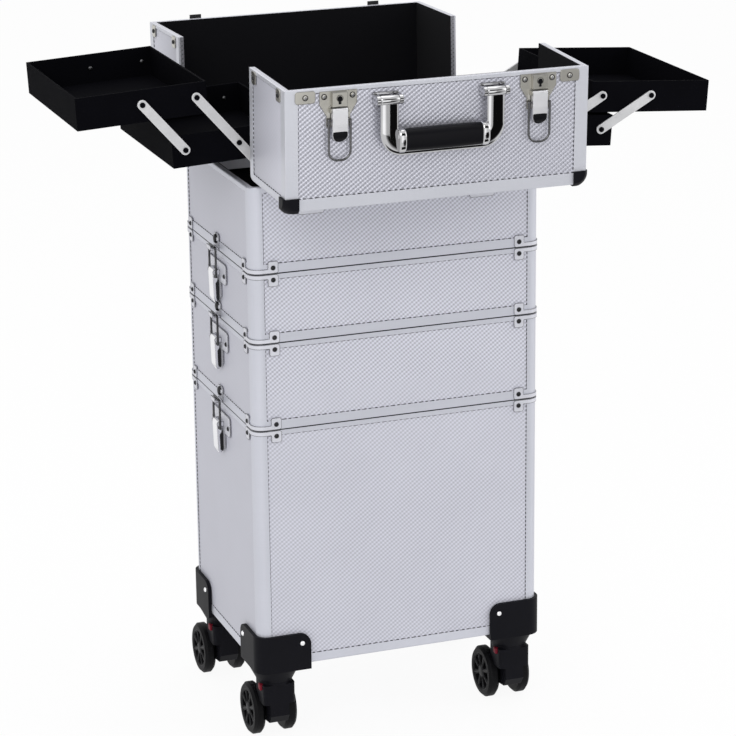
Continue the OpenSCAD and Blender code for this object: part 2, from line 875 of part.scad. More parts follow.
// A tray with its pivot studs: u0 is the distance of the long arm's pivot from the outer end
module tray(side, droop, pivot, u0, v0, studs) {
    color([0.05, 0.05, 0.06]) translate([pivot[0], 0, pivot[1]]) rotate([0, side * droop, 0]) {
        outer = side * u0;
        inner = side * (u0 - tray_w);
        difference() {
            span([min(outer, inner), -tray_d / 2, -v0], [max(outer, inner), tray_d / 2, tray_h - v0]);
            span([min(outer, inner) + tray_t, -tray_d / 2 + tray_t, tray_t - v0],
                 [max(outer, inner) - tray_t, tray_d / 2 - tray_t, tray_h - v0 + 1]);
        }
        for (u = studs, end = [-1, 1]) {
            rod_y(side * u, end > 0 ? tray_d / 2 - tray_t / 2 : -head_y0 - tiny,
                  end > 0 ? head_y0 + tiny : -tray_d / 2 + tray_t / 2, 0, pivot_r);
            rod_y(side * u, end > 0 ? head_y0 : -head_y0 - head_t, end > 0 ? head_y0 + head_t : -head_y0,
                  0, head_r);
        }
    }
}

module long_arms(side, angle, droop) {
    arm_pair(side, angle, on_link(side, angle, droop, 0, 0), [bore, bore, bore]);
}

module lower_arms(side, angle, droop) {
    arm_pair(side, angle, on_link(side, angle, droop, 0, -lower_link), [bore, loose_bore]);
}

module upper_arms(side, angle, droop) {
    arm_pair(side, angle, on_link(side, angle, droop, 1, upper_link), [bore, loose_bore]);
}

module lower_tray(side, angle, droop) {
    tray(side, droop, on_link(side, angle, droop, 1, 0), lower_pivot_u, pivot_v,
         [-lower_link, 0, upper_link]);
}

module upper_tray(side, angle, droop) {
    tray(side, droop, on_link(side, angle, droop, 2, 0), upper_pivot_u, pivot_v, [0, upper_link]);
}

module left_long_arms() {
    long_arms(-1, left_arm_angle, left_droop);
}

module left_lower_arms() {
    lower_arms(-1, left_arm_angle, left_droop);
}

module left_upper_arms() {
    upper_arms(-1, left_arm_angle, left_droop);
}

module left_lower_tray() {
    lower_tray(-1, left_arm_angle, left_droop);
}

module left_upper_tray() {
    upper_tray(-1, left_arm_angle, left_droop);
}

module right_long_arms() {
    long_arms(1, right_arm_angle, right_droop);
}

module right_lower_arms() {
    lower_arms(1, right_arm_angle, right_droop);
}

module right_upper_arms() {
    upper_arms(1, right_arm_angle, right_droop);
}

module right_lower_tray() {
    lower_tray(1, right_arm_angle, right_droop);
}

module right_upper_tray() {
    upper_tray(1, right_arm_angle, right_droop);
}

// Casters and their corner brackets

// One wing of a corner bracket on the front face, starting at the corner and running along +X
module bracket_wing(half, l) {
    rotate([90, 0, 0]) linear_extrude(wing_t) translate([-half, 0]) {
        translate([corner_r, -under_t]) square([l - corner_r - wing_r, wing_h + under_t]);
        translate([corner_r, -under_t + wing_foot_r])
            square([l - corner_r, wing_h + under_t - wing_r - wing_foot_r]);
        translate([corner_r, -under_t]) square([l - corner_r - wing_foot_r, wing_h + under_t - wing_r]);
        translate([l - wing_r, wing_h - wing_r]) circle(wing_r);
        translate([l - wing_foot_r, -under_t + wing_foot_r]) circle(wing_foot_r);
    }
}

// A bracket for the front left corner, with its neck and swivel stem
module corner_bracket() {
    translate([0, -half_d, z4]) bracket_wing(half_w, wing_l);
    on_side(-1, z4) mirror([1, 0, 0]) bracket_wing(half_d, wing_l);
    translate([0, 0, z4 - under_t]) linear_extrude(wing_h + under_t) intersection() {
        difference() {
            rounded_rect(case_w + 2 * wing_t, case_d + 2 * wing_t, corner_r + wing_t);
            plan(0);
        }
        translate([-half_w - wing_t, -half_d - wing_t]) square(corner_r + wing_t + tiny);
    }
    translate([0, 0, z4 - under_t]) linear_extrude(under_t) intersection() {
        rounded_rect(case_w + 2 * wing_t, case_d + 2 * wing_t, corner_r + wing_t);
        translate([-half_w - wing_t, -half_d - wing_t]) square(wing_l + wing_t);
    }
    translate([-half_w + swivel_in_x, -half_d + swivel_in_y, 0]) {
        translate([0, 0, fork_top + gap])
            cylinder(h = z4 - under_t - fork_top - gap, r1 = neck_low_r, r2 = neck_top_r);
        translate([0, 0, fork_top - stem_l]) cylinder(h = stem_l + gap + 1, r = stem_r);
    }
}

module caster_brackets() {
    color([0.08, 0.08, 0.09]) {
        corner_bracket();
        mirror([1, 0, 0]) corner_bracket();
        mirror([0, 1, 0]) {
            corner_bracket();
            mirror([1, 0, 0]) corner_bracket();
        }
    }
}

// Moves a caster to the corner named by its signs; the wheels trail towards +Y
module at_swivel(sx, sy) {
    translate([sx * (half_w - swivel_in_x), sy * (half_d - swivel_in_y), 0]) children();
}

module fork() {
    color([0.07, 0.07, 0.08]) difference() {
        union() {
            translate([0, 0, fork_top - 4]) cylinder(h = 4, r = 20);
            difference() {
                translate([0, -2.5, fork_top - fork_drop]) linear_extrude(fork_drop - 3)
                    rounded_rect(fork_w, fork_w - 5, 5);
                for (xs = [[-30, -spine_w / 2], [spine_w / 2, 30]])
                    rod_x(xs[0], xs[1], trail, wheel_r, wheel_r + 1.5);
            }
            rotate([90, 0, 90]) translate([0, 0, -spine_w / 2]) linear_extrude(spine_w) polygon([
                [-19, fork_top - 3], [-19, wheel_r + 4], [-12, wheel_r - 6], [trail, wheel_r - 11],
                [trail + 11, wheel_r], [trail + 9, wheel_r + 10], [14, fork_top - 3]]);
        }
        translate([0, 0, fork_top - stem_l - 1]) cylinder(h = stem_l + 9, r = stem_r + fit);
        rod_x(-30, 30, trail, wheel_r, axle_r + fit);
    }
}

// A spoked wheel standing on the floor with its middle at X = 0 and its outer face towards -X
module wheel() {
    translate([0, trail, wheel_r]) rotate([0, 90, 0]) difference() {
        rotate_extrude() polygon([[0, -wheel_w / 2 + 1], [wheel_r - 9, -wheel_w / 2 + 1],
                                  [wheel_r - 8, -wheel_w / 2], [wheel_r - 3, -wheel_w / 2],
                                  [wheel_r, -wheel_w / 2 + 3], [wheel_r, wheel_w / 2 - 3],
                                  [wheel_r - 3, wheel_w / 2], [0, wheel_w / 2]]);
        for (i = [0 : 7]) rotate(i * 45) translate([0, 0, -wheel_w / 2]) linear_extrude(4)
            polygon([[8, -1.5], [wheel_r - 10.5, -5], [wheel_r - 9.5, 0], [wheel_r - 10.5, 5], [8, 1.5]]);
    }
}

module wheel_pair() {
    color([0.05, 0.05, 0.05]) {
        translate([-wheel_gap / 2, 0, 0]) wheel();
        translate([wheel_gap / 2, 0, 0]) mirror([1, 0, 0]) wheel();
        rod_x(-wheel_gap / 2, wheel_gap / 2, trail, wheel_r, axle_r);
    }
}

module front_left_fork() {
    at_swivel(-1, -1) fork();
}

module front_left_wheels() {
    at_swivel(-1, -1) wheel_pair();
}

module front_right_fork() {
    at_swivel(1, -1) fork();
}

module front_right_wheels() {
    at_swivel(1, -1) wheel_pair();
}

module back_left_fork() {
    at_swivel(-1, 1) fork();
}

module back_left_wheels() {
    at_swivel(-1, 1) wheel_pair();
}

module back_right_fork() {
    at_swivel(1, 1) fork();
}

module back_right_wheels() {
    at_swivel(1, 1) wheel_pair();
}

// Trolley handle on the back of the bottom tier

module trolley_guides() {
    color("dimgray") for (sx = [-1, 1]) translate([sx * trolley_x, half_d + guide_d / 2, 0]) {
        difference() {
            translate([0, 0, guide_z0]) linear_extrude(guide_z1 - guide_z0)
                rounded_rect(guide_w, guide_d, 3);
            translate([0, 0, guide_z0 + 4]) linear_extrude(guide_z1)
                rounded_rect(guide_w - 2 * guide_t, guide_d - 2 * guide_t, 1.5);
        }
        for (z = [guide_z0 + 10, guide_z1 - 22]) difference() {
            translate([0, 0, z]) linear_extrude(12) translate([0, -guide_d / 2 + 2])
                rounded_rect(guide_w + 24, 4, 1.9);
            translate([0, 0, z - 1]) linear_extrude(14) rounded_rect(guide_w, guide_d, 3);
        }
    }
}

module trolley_handle() {
    color([0.1, 0.1, 0.1]) translate([0, half_d + guide_d / 2, 0]) {
        for (sx = [-1, 1])
            translate([sx * trolley_x, 0, guide_z0 + 6]) linear_extrude(guide_z1 - guide_z0 + 4)
                rounded_rect(guide_w - 2 * guide_t - 2 * gap, guide_d - 2 * guide_t - 2 * gap, 1.2);
        translate([0, 0, guide_z1 + 2]) linear_extrude(22) difference() {
            translate([0, 1 + gap]) rounded_rect(2 * trolley_x + guide_w + 6, guide_d + 2, 6);
            translate([0, guide_d / 2 + 8]) square([2 * trolley_x - guide_w, 18], center = true);
        }
    }
}

tier1_panels();
tier1_frame();
tier2_panels();
tier2_frame();
tier3_panels();
tier3_frame();
tier4_panels();
tier4_frame();
tier_linings();
case_fittings();
tier1_fittings();
caster_brackets();
trolley_guides();
trolley_handle();
front_lid_panels();
front_lid_frame();
front_lid_lining();
front_lid_fittings();
front_lid_caps();
back_lid_panels();
back_lid_frame();
back_lid_lining();
back_lid_fittings();
back_lid_caps();
handle_bail();
handle_grip();
left_lid_lever();
left_lid_loop();
right_lid_lever();
right_lid_loop();
left_long_arms();
left_lower_arms();
left_upper_arms();
left_lower_tray();
left_upper_tray();
right_long_arms();
right_lower_arms();
right_upper_arms();
right_lower_tray();
right_upper_tray();
left_lever1();
left_loop1();
left_lever2();
left_loop2();
left_lever3();
left_loop3();
right_lever1();
right_loop1();
right_lever2();
right_loop2();
right_lever3();
right_loop3();
front_left_fork();
front_left_wheels();
front_right_fork();
front_right_wheels();
back_left_fork();
back_left_wheels();
back_right_fork();
back_right_wheels();
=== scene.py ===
import math

import bmesh
import bpy
import numpy as np
from mathutils import Matrix, Vector


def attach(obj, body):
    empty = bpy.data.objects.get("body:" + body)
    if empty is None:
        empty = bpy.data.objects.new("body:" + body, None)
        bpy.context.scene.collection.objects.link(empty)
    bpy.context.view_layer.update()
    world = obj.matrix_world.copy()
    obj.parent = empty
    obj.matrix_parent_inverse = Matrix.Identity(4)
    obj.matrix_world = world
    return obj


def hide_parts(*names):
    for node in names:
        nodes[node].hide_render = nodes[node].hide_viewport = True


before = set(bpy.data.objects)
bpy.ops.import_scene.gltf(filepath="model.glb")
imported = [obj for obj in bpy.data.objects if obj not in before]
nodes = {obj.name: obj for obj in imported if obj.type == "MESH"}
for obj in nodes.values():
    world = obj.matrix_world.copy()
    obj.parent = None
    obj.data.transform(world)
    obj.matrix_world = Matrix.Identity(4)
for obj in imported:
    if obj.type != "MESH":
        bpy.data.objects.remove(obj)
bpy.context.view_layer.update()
mm = 0.001
fullTurn = 2 * math.pi


class Wire:  # one socket; arithmetic on it adds Math nodes
    def __init__(self, finish, socket):
        self.finish, self.socket = finish, socket

    def math(self, operation, *values):
        return self.finish.node("ShaderNodeMath", {"operation": operation}, dict(enumerate(values)))

    def __add__(self, other): return self.math("ADD", self, other)
    def __radd__(self, other): return self.math("ADD", other, self)
    def __sub__(self, other): return self.math("SUBTRACT", self, other)
    def __rsub__(self, other): return self.math("SUBTRACT", other, self)
    def __mul__(self, other): return self.math("MULTIPLY", self, other)
    def __rmul__(self, other): return self.math("MULTIPLY", other, self)
    def __truediv__(self, other): return self.math("DIVIDE", self, other)
    def __rtruediv__(self, other): return self.math("DIVIDE", other, self)
    def __gt__(self, other): return self.math("GREATER_THAN", self, other)
    def __lt__(self, other): return self.math("LESS_THAN", self, other)
    def __abs__(self): return self.math("ABSOLUTE", self)
    def cos(self): return self.math("COSINE", self)
    def clamp(self): return self.math("MINIMUM", self.math("MAXIMUM", self, 0.0), 1.0)


class Finish:  # one material while its nodes are laid
    facesAxis = 0.7  # a normal with more than this along an axis counts as facing that way

    def __init__(self, name):
        self.material = bpy.data.materials.new(name)
        self.material.use_nodes = True
        self.tree = self.material.node_tree
        self.tree.nodes.clear()
        self.shell = self.tree.nodes.new("ShaderNodeBsdfPrincipled")
        self.out = self.tree.nodes.new("ShaderNodeOutputMaterial")
        self.tree.links.new(self.shell.outputs[0], self.out.inputs[0])

    def node(self, kind, settings=None, inputs=None, out=0):  # settings first, then values or links
        made = self.tree.nodes.new(kind)
        for key, value in (settings or {}).items():
            setattr(made, key, value)
        self.feed(made, inputs or {})
        return Wire(self, made.outputs[out])

    def feed(self, made, inputs):
        for key, value in inputs.items():
            if isinstance(value, Wire):
                self.tree.links.new(value.socket, made.inputs[key])
            elif isinstance(value, (tuple, list)) and len(value) == 3 and made.inputs[key].type == "RGBA":
                made.inputs[key].default_value = (*value, 1)
            else:
                made.inputs[key].default_value = value

    def place(self):  # metres in the part's frame, since every piece sits at the origin
        return self.node("ShaderNodeTexCoord", out="Object")

    def facing(self):  # the piece's own normal, which turns with its body
        return self.node("ShaderNodeTexCoord", out="Normal")

    def split(self, vector):
        made = self.tree.nodes.new("ShaderNodeSeparateXYZ")
        self.tree.links.new(vector.socket, made.inputs[0])
        return [Wire(self, s) for s in made.outputs]

    def flatPlace(self):  # two coordinates in the plane of whichever box face this is, and the side mask
        x, y, z = self.split(self.place())
        nx, _, nz = self.split(self.facing())
        side, flat = abs(nx) > self.facesAxis, abs(nz) > self.facesAxis
        return x * (1 - side) + y * side, z * (1 - flat) + y * flat, side

    def noise(self, scale, detail=3.0, stretch=None):
        where = self.place()
        if stretch:
            where = self.node("ShaderNodeVectorMath", {"operation": "MULTIPLY"}, {0: where, 1: stretch})
        return self.node("ShaderNodeTexNoise", {}, {"Vector": where, "Scale": scale, "Detail": detail})

    def blend(self, factor, low, high):  # colour between two colours
        return self.node("ShaderNodeMix", {"data_type": "RGBA"}, {0: factor, 6: low, 7: high}, out=2)

    def bump(self, height, depth, normal=None):
        inputs = {"Height": height, "Distance": depth, "Strength": 1.0}
        if normal:
            inputs["Normal"] = normal
        return self.node("ShaderNodeBump", {}, inputs)

    def softEdge(self, radius):  # rounds sharp edges in the shading only
        return self.node("ShaderNodeBevel", {"samples": 8}, {"Radius": radius})

    def nearEdge(self, rounded, gain):  # 1 close to a sharp edge, 0 on the open face
        true = self.node("ShaderNodeNewGeometry", out="True Normal")
        along = self.node("ShaderNodeVectorMath", {"operation": "DOT_PRODUCT"}, {0: rounded, 1: true}, out="Value")
        return ((1 - along) * gain).clamp()

    def done(self, **values):
        self.feed(self.shell, {key.replace("_", " "): value for key, value in values.items()})
        return self.material


panelLook = {
    "rise": (148.0, -200.0), "fall": (234.0, 203.0),  # ridges per metre across and up
    "riseShare": 0.3, "fallShare": 0.2, "depth": 0.22 * mm, "soft": 0.4 * mm, "worn": 0.16,
    "ground": (0.33, 0.332, 0.375), "ridge": (0.655, 0.66, 0.74), "edge": (0.30, 0.30, 0.33),
    "upper": (0.42, 0.4),  # above this height the ridges stand out by this share more
    "sideShare": 0.1, "sideRough": 0.46, "sideMetal": 0.08,  # side panels look smoother and duller
    "sheenFrom": 0.2,  # distance from the case's middle where the painted sheen changes from dark to light
    "meeting": -0.06,  # below this a face looks towards the case's middle: the board's own edge
    "case": {"share": 0.74, "level": 0.54, "sheen": 0.0, "rough": 0.46, "metal": 0.08},
    "lid": {"share": 0.84, "level": 0.57, "sheen": 5.0, "rough": 0.30, "metal": 0.5},
}


def panelRidge(f):  # two crossing waves, the rising one stronger, so that lozenges stand in diagonal rows
    u, v, side = f.flatPlace()
    def wave(step): return (u * (fullTurn * step[0]) + v * (fullTurn * step[1])).cos()
    height = wave(panelLook["rise"]) * panelLook["riseShare"] + wave(panelLook["fall"]) * panelLook["fallShare"] + 0.5
    return height, side


def texturedPanel(name, share, level, sheen, rough, metal):  # sheen is a reflection painted into the colour: it lightens a side panel away from the parting
    f = Finish(name)
    ridge, side = panelRidge(f)
    worn = f.noise(14.0, 4.0)
    _, y, z = f.split(f.place())
    ny = f.split(f.facing())[1]
    upper, more = panelLook["upper"]
    inward = (y * ny) < panelLook["meeting"]
    strength = (1 - side * (1 - panelLook["sideShare"])) * (1 - inward) * ((z > upper) * more + 1) * share
    # painted sheen: a reflection painted into the side panels' colour, darker near the parting and lighter away from it
    paintedSheen = side * (abs(y) - panelLook["sheenFrom"]) * sheen
    tone = ((ridge - 0.5) * strength + level + paintedSheen + (worn - 0.5) * panelLook["worn"]).clamp()
    return f.done(
        Base_Color=f.blend(inward, f.blend(tone, panelLook["ground"], panelLook["ridge"]), panelLook["edge"]),
        Roughness=rough - ridge * 0.1 + worn * 0.08 + side * (panelLook["sideRough"] - rough),
        Metallic=metal - side * (metal - panelLook["sideMetal"]),
        Specular_IOR_Level=0.4,
        Normal=f.bump(ridge * strength, panelLook["depth"], f.softEdge(panelLook["soft"])),
    )


# colours of the painted shadow at each panel's edge: dark, lighter where a ridge reaches it
edgeShadowLook = {"dark": (0.014, 0.014, 0.017), "light": (0.5, 0.5, 0.56), "gain": 3.0, "from": 1.3}


def panelEdge():  # painted shadow where a panel runs under its profile, broken by the ridges
    f = Finish("painted_edge_shadow")
    ridge = panelRidge(f)[0]
    dash = (ridge * edgeShadowLook["gain"] - edgeShadowLook["from"]).clamp()
    return f.done(
        Base_Color=f.blend(dash, edgeShadowLook["dark"], edgeShadowLook["light"]),
        Roughness=0.7 - ridge * 0.2,
        Specular_IOR_Level=0.2,
    )


profileLook = {
    "case": ((0.62, 0.63, 0.695), (0.51, 0.52, 0.575)), "lid": ((0.625, 0.635, 0.69), (0.53, 0.54, 0.59)),
    "rough": 0.36, "metal": 0.5, "lines": 900.0, "drawn": 0.012, "depth": 0.012 * mm, "soft": 0.7 * mm,
}


def satinProfile(name, colour, shade):  # anodised aluminium with drawing lines along its length
    f = Finish(name)
    drawn = profileLook["drawn"]
    upright = f.noise(profileLook["lines"], 2.0, (1, 1, drawn))
    level = f.noise(profileLook["lines"], 2.0, (drawn, drawn, 1))
    patch = f.noise(9.0, 3.0)
    lines = upright * 0.5 + level * 0.5
    return f.done(
        Base_Color=f.blend((patch * 0.7 + lines * 0.5 - 0.1).clamp(), shade, colour),
        Roughness=profileLook["rough"] + lines * 0.12 + patch * 0.06,
        Metallic=profileLook["metal"],
        Normal=f.bump(lines, profileLook["depth"], f.softEdge(profileLook["soft"])),
    )


liningLook = {"low": (0.002, 0.002, 0.003), "high": (0.005, 0.005, 0.0065), "pile": 1800.0, "depth": 0.05 * mm}


def blackLining():  # short-pile lining board
    f = Finish("black_lining")
    pile, blot = f.noise(liningLook["pile"], 2.0), f.noise(30.0, 3.0)
    return f.done(
        Base_Color=f.blend((pile * 0.5 + blot * 0.5).clamp(), liningLook["low"], liningLook["high"]),
        Roughness=0.85 + blot * 0.12,
        Normal=f.bump(pile, liningLook["depth"]),
        Specular_IOR_Level=0.1,
        Sheen_Weight=0.02,
        Sheen_Roughness=0.5,
    )


clothLook = {"low": (0.001, 0.001, 0.0016), "high": (0.0042, 0.0042, 0.006),
             "thread": 0.9 * mm, "depth": 0.03 * mm, "soft": 0.8 * mm}


def trayBlack():  # black cloth-covered board with a fine square weave, and a painted highlight along its edges
    f = Finish("tray_black")
    u, v, _ = f.flatPlace()
    turn = fullTurn / clothLook["thread"]
    weave = (u * turn).cos() * (v * turn).cos() * 0.5 + 0.5
    blot = f.noise(24.0, 4.0)
    rounded = f.softEdge(clothLook["soft"])
    # painted highlight: the tone lightens near the board's edges
    tone = (weave * 0.4 + blot * 0.5 + f.nearEdge(rounded, 2.0) * 0.2).clamp()
    return f.done(
        Base_Color=f.blend(tone, clothLook["low"], clothLook["high"]),
        Roughness=0.74 + blot * 0.16,
        Normal=f.bump(weave, clothLook["depth"], rounded),
        Specular_IOR_Level=0.02,
    )


armLook = {"low": (0.44, 0.44, 0.45), "high": (0.86, 0.86, 0.87), "metal": 0.3, "depth": 0.02 * mm, "soft": 1.1 * mm}


def greyArm():  # zinc-plated strip steel
    f = Finish("grey_arm")
    smear, grain = f.noise(60.0, 4.0), f.noise(500.0, 3.0)
    rounded = f.softEdge(armLook["soft"])
    tone = (smear * 0.4 + grain * 0.25 + f.nearEdge(rounded, 5.0) * 0.7).clamp()
    return f.done(
        Base_Color=f.blend(tone, armLook["low"], armLook["high"]),
        Roughness=0.42 + smear * 0.15 + grain * 0.05,
        Metallic=armLook["metal"],
        Normal=f.bump(grain, armLook["depth"], rounded),
    )


platingLook = {"polished": (0.48, 0.48, 0.49), "polish": 0.8, "rim": (0.03, 0.03, 0.032), "depth": 0.1 * mm}
metalLook = {
    "nickel_fittings": {"colour": (0.60, 0.585, 0.54), "shade": (0.38, 0.37, 0.335), "rough": 0.27,
                        "edge": 0.9 * mm, "rim": 0.9, "gain": 4.0, "bright": 80 * mm},
    "silver_fittings": {"colour": (0.68, 0.685, 0.74), "shade": (0.55, 0.555, 0.61), "rough": 0.34,
                        "edge": 1.6 * mm, "rim": 0.95, "gain": 7.0, "metal": 0.3},
    "chrome": {"colour": (0.56, 0.56, 0.57), "shade": (0.45, 0.45, 0.46), "rough": 0.03},
    "dull_rivet": {"colour": (0.16, 0.16, 0.165), "shade": (0.07, 0.07, 0.074), "rough": 0.4, "edge": 0.3 * mm},
    "satin_lever": {"colour": (0.88, 0.88, 0.90), "shade": (0.74, 0.74, 0.77), "rough": 0.4,
                    "edge": 0.7 * mm, "rim": 0.8, "gain": 4.0},
    "latch_lever": {"colour": (0.92, 0.92, 0.94), "shade": (0.78, 0.78, 0.81), "rough": 0.29,
                    "edge": 1.0 * mm, "rim": 0.95, "gain": 4.0},
    "loop_wire": {"colour": (0.17, 0.17, 0.175), "shade": (0.07, 0.07, 0.073), "rough": 0.2, "edge": 0.3 * mm},
    # painted reflection: a rivet dome darkened for the dark it reflects
    "painted_reflection_rivet": {"colour": (0.34, 0.34, 0.35), "shade": (0.18, 0.18, 0.185), "rough": 0.16},
    # the side latches' loops: wire darkened as painted shade for the shade round their legs
    "painted_shade_wire": {"colour": (0.10, 0.10, 0.105), "shade": (0.03, 0.03, 0.032), "rough": 0.27, "edge": 0.3 * mm},
    # painted shade and painted reflection: dark finish for seam strips, rivet rings, latch cores and lips, and dark
    # rivets and hooks
    "painted_shade_and_reflection_black": {"colour": (0.05, 0.05, 0.052), "shade": (0.02, 0.02, 0.022), "rough": 0.38, "edge": 0.3 * mm},
    "bright_rivet": {"colour": (0.95, 0.95, 0.96), "shade": (0.86, 0.86, 0.88), "rough": 0.25, "edge": 0.3 * mm},
}


# plating with faint smears, painted shade along its edges by rim, and polished nearer the case's middle than bright
def platedMetal(name, colour, shade, rough, edge=None, rim=0.0, gain=3.0, metal=1.0, bright=None):
    f = Finish(name)
    smear, grain = f.noise(38.0, 4.0), f.noise(700.0, 2.0)
    rounded = f.softEdge(edge) if edge else None  # a mirror finish keeps its own normals
    tone = f.blend((smear * 1.2 - 0.1).clamp(), shade, colour)
    polish = 0.8 + smear * 0.5 + grain * 0.1
    if bright:
        middle = abs(f.split(f.place())[0]) < bright
        tone = f.blend(middle, tone, platingLook["polished"])
        polish = polish * (1 - middle * platingLook["polish"])
    # painted shade: the plating darkens along its edges
    if rim:
        tone = f.blend(f.nearEdge(rounded, gain) * rim, tone, platingLook["rim"])
    return f.done(
        Base_Color=tone,
        Roughness=polish * rough,
        Metallic=metal,
        Normal=f.bump(smear, rough * platingLook["depth"], rounded),
    )


plasticLook = {
    "black_plastic": {"low": (0.003, 0.003, 0.0045), "high": (0.007, 0.007, 0.010), "rough": 0.42,
                      "grainSize": 0.7 * mm, "gloss": 0.07},
    "black_grip": {"low": (0.002, 0.002, 0.003), "high": (0.005, 0.005, 0.007), "rough": 0.34,
                   "grainSize": 1.1 * mm, "depth": 0.03 * mm, "gloss": 0.1},
    "wheel_black": {"low": (0.002, 0.002, 0.0025), "high": (0.005, 0.005, 0.006), "rough": 0.48,
                    "grainSize": 0.9 * mm, "edgeTone": (0.035, 0.035, 0.038), "gloss": 0.1},
    "spoke_grey": {"low": (0.010, 0.010, 0.011), "high": (0.024, 0.024, 0.026), "rough": 0.4, "grainSize": 0.8 * mm},
    "red_plastic": {"low": (0.10, 0.005, 0.012), "high": (0.19, 0.009, 0.022), "rough": 0.4, "grainSize": 0.8 * mm},
}


# fine-grained plastic, lighter towards a given colour along its edges
def mouldedPlastic(name, low, high, rough, grainSize, depth=0.02 * mm, edgeTone=None, gloss=0.12):
    f = Finish(name)
    grain, blot = f.noise(1 / grainSize, 3.0), f.noise(18.0, 4.0)
    rounded = f.softEdge(0.8 * mm)
    tone = f.blend((grain * 0.4 + blot * 0.6).clamp(), low, high)
    if edgeTone:
        tone = f.blend(f.nearEdge(rounded, 2.0) * (blot * 0.8 + 0.2), tone, edgeTone)
    return f.done(
        Base_Color=tone,
        Roughness=rough + grain * 0.12 + blot * 0.1 - 0.06,
        Normal=f.bump(grain, depth, rounded),
        Specular_IOR_Level=gloss,
    )


finishes = {
    "textured_panel": texturedPanel("textured_panel", **panelLook["case"]),
    "lid_panel": texturedPanel("lid_panel", **panelLook["lid"]),
    "painted_edge_shadow": panelEdge(),
    "satin_profile": satinProfile("satin_profile", *profileLook["case"]),
    "lid_profile": satinProfile("lid_profile", *profileLook["lid"]),
    "black_lining": blackLining(),
    "tray_black": trayBlack(),
    "grey_arm": greyArm(),
}
finishes.update({name: platedMetal(name, **look) for name, look in metalLook.items()})
finishes.update({name: mouldedPlastic(name, **look) for name, look in plasticLook.items()})
print("finishes:", len(finishes))


def finishOf(name):  # which finish a CAD node wears
    if name.endswith("panels"): return "lid_panel" if "lid" in name else "textured_panel"
    if name.endswith("frame"): return "lid_profile" if "lid" in name else "satin_profile"
    if name.endswith(("lining", "linings")): return "black_lining"
    if name in ("case_fittings", "tier1_fittings"): return "silver_fittings"
    if name.endswith("fittings"): return "nickel_fittings"
    if name.endswith("arms"): return "grey_arm"
    if name.endswith("tray"): return "tray_black"
    if name.endswith("wheels"): return "wheel_black"
    if name.endswith("lid_lever"): return "satin_lever"
    if "_lever" in name: return "latch_lever"
    if name.endswith("lid_loop"): return "loop_wire"
    if "_loop" in name: return "painted_shade_wire"
    if name == "handle_grip": return "black_grip"
    if name in ("caster_brackets", "trolley_handle") or name.endswith(("caps", "fork")): return "black_plastic"
    if name == "trolley_guides": return "satin_profile"
    return "chrome"


for name, node in nodes.items():
    node.data.materials.clear()
    node.data.materials.append(finishes[finishOf(name)])
print("CAD nodes dressed")


def gridPart(points, wrapU=False, wrapV=False):  # points[u, v] -> vertices and the quads between neighbours
    rows, cols = points.shape[:2]
    u, v = np.meshgrid(np.arange(rows - (not wrapU)), np.arange(cols - (not wrapV)), indexing="ij")
    def index(a, b): return (a % rows) * cols + b % cols
    quads = np.stack([index(u, v), index(u + 1, v), index(u + 1, v + 1), index(u, v + 1)], -1).reshape(-1, 4)
    return points.reshape(-1, 3), quads


def closedEnds(rings):  # one more ring at each end, drawn in to that end's middle
    first, last = rings[:1], rings[-1:]
    return np.concatenate([first.mean(1, keepdims=True) + 0 * first, rings, last.mean(1, keepdims=True) + 0 * last])


def makePiece(name, parts, finish, body, smooth=40):  # joins grids, merges doubles, faces outwards
    starts = np.cumsum([0] + [len(p[0]) for p in parts])
    verts = np.concatenate([p[0] for p in parts])
    quads = np.concatenate([p[1] + s for p, s in zip(parts, starts)])
    mesh = bpy.data.meshes.new(name)
    mesh.from_pydata(verts.tolist(), [], quads.tolist())
    work = bmesh.new()
    work.from_mesh(mesh)
    bmesh.ops.remove_doubles(work, verts=work.verts, dist=1e-6)
    bmesh.ops.dissolve_degenerate(work, edges=work.edges, dist=1e-7)
    bmesh.ops.recalc_face_normals(work, faces=work.faces)
    work.to_mesh(mesh)
    work.free()
    mesh.polygons.foreach_set("use_smooth", np.ones(len(mesh.polygons), bool))
    mesh.set_sharp_from_angle(angle=math.radians(smooth))
    mesh.materials.append(finishes[finish])
    piece = bpy.data.objects.new(name, mesh)
    bpy.context.scene.collection.objects.link(piece)
    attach(piece, body)
    return piece


# the CAD's own sizes in mm; tiers are (bottom, height) and lids are (turn, opening angle, depth)
caseSize = {"halfW": 170.0, "halfD": 122.0, "corner": 12.0, "tiers": ((98, 283), (381, 100), (481, 79), (560, 97)),
            "top": 657.0, "rim": 11.0, "topRim": 6.0, "post": 14.5, "step": 0.8, "plate": 1.2,
            "seams": (381.0, 481.0, 560.0), "hinge": 100.0}
lidSize = {"high": 117.0, "rim": 13.0, "edge": 4.0, "reach": 6.0, "latch": 112.0,
           "front_lid": (0.0, 92.0, 129.0), "back_lid": (180.0, 91.0, 114.4)}


def caseFace(face):  # (along, out, height) in mm on one face of the case -> metres in the frame
    w, d = caseSize["halfW"], caseSize["halfD"]
    def place(p):
        a, out, z = np.moveaxis(np.asarray(p, float), -1, 0)
        x, y = {"front": (a, -d - out), "back": (-a, d + out), "left": (-w - out, -a), "right": (w + out, a)}[face]
        return np.stack([x, y, z], -1) * mm
    return place


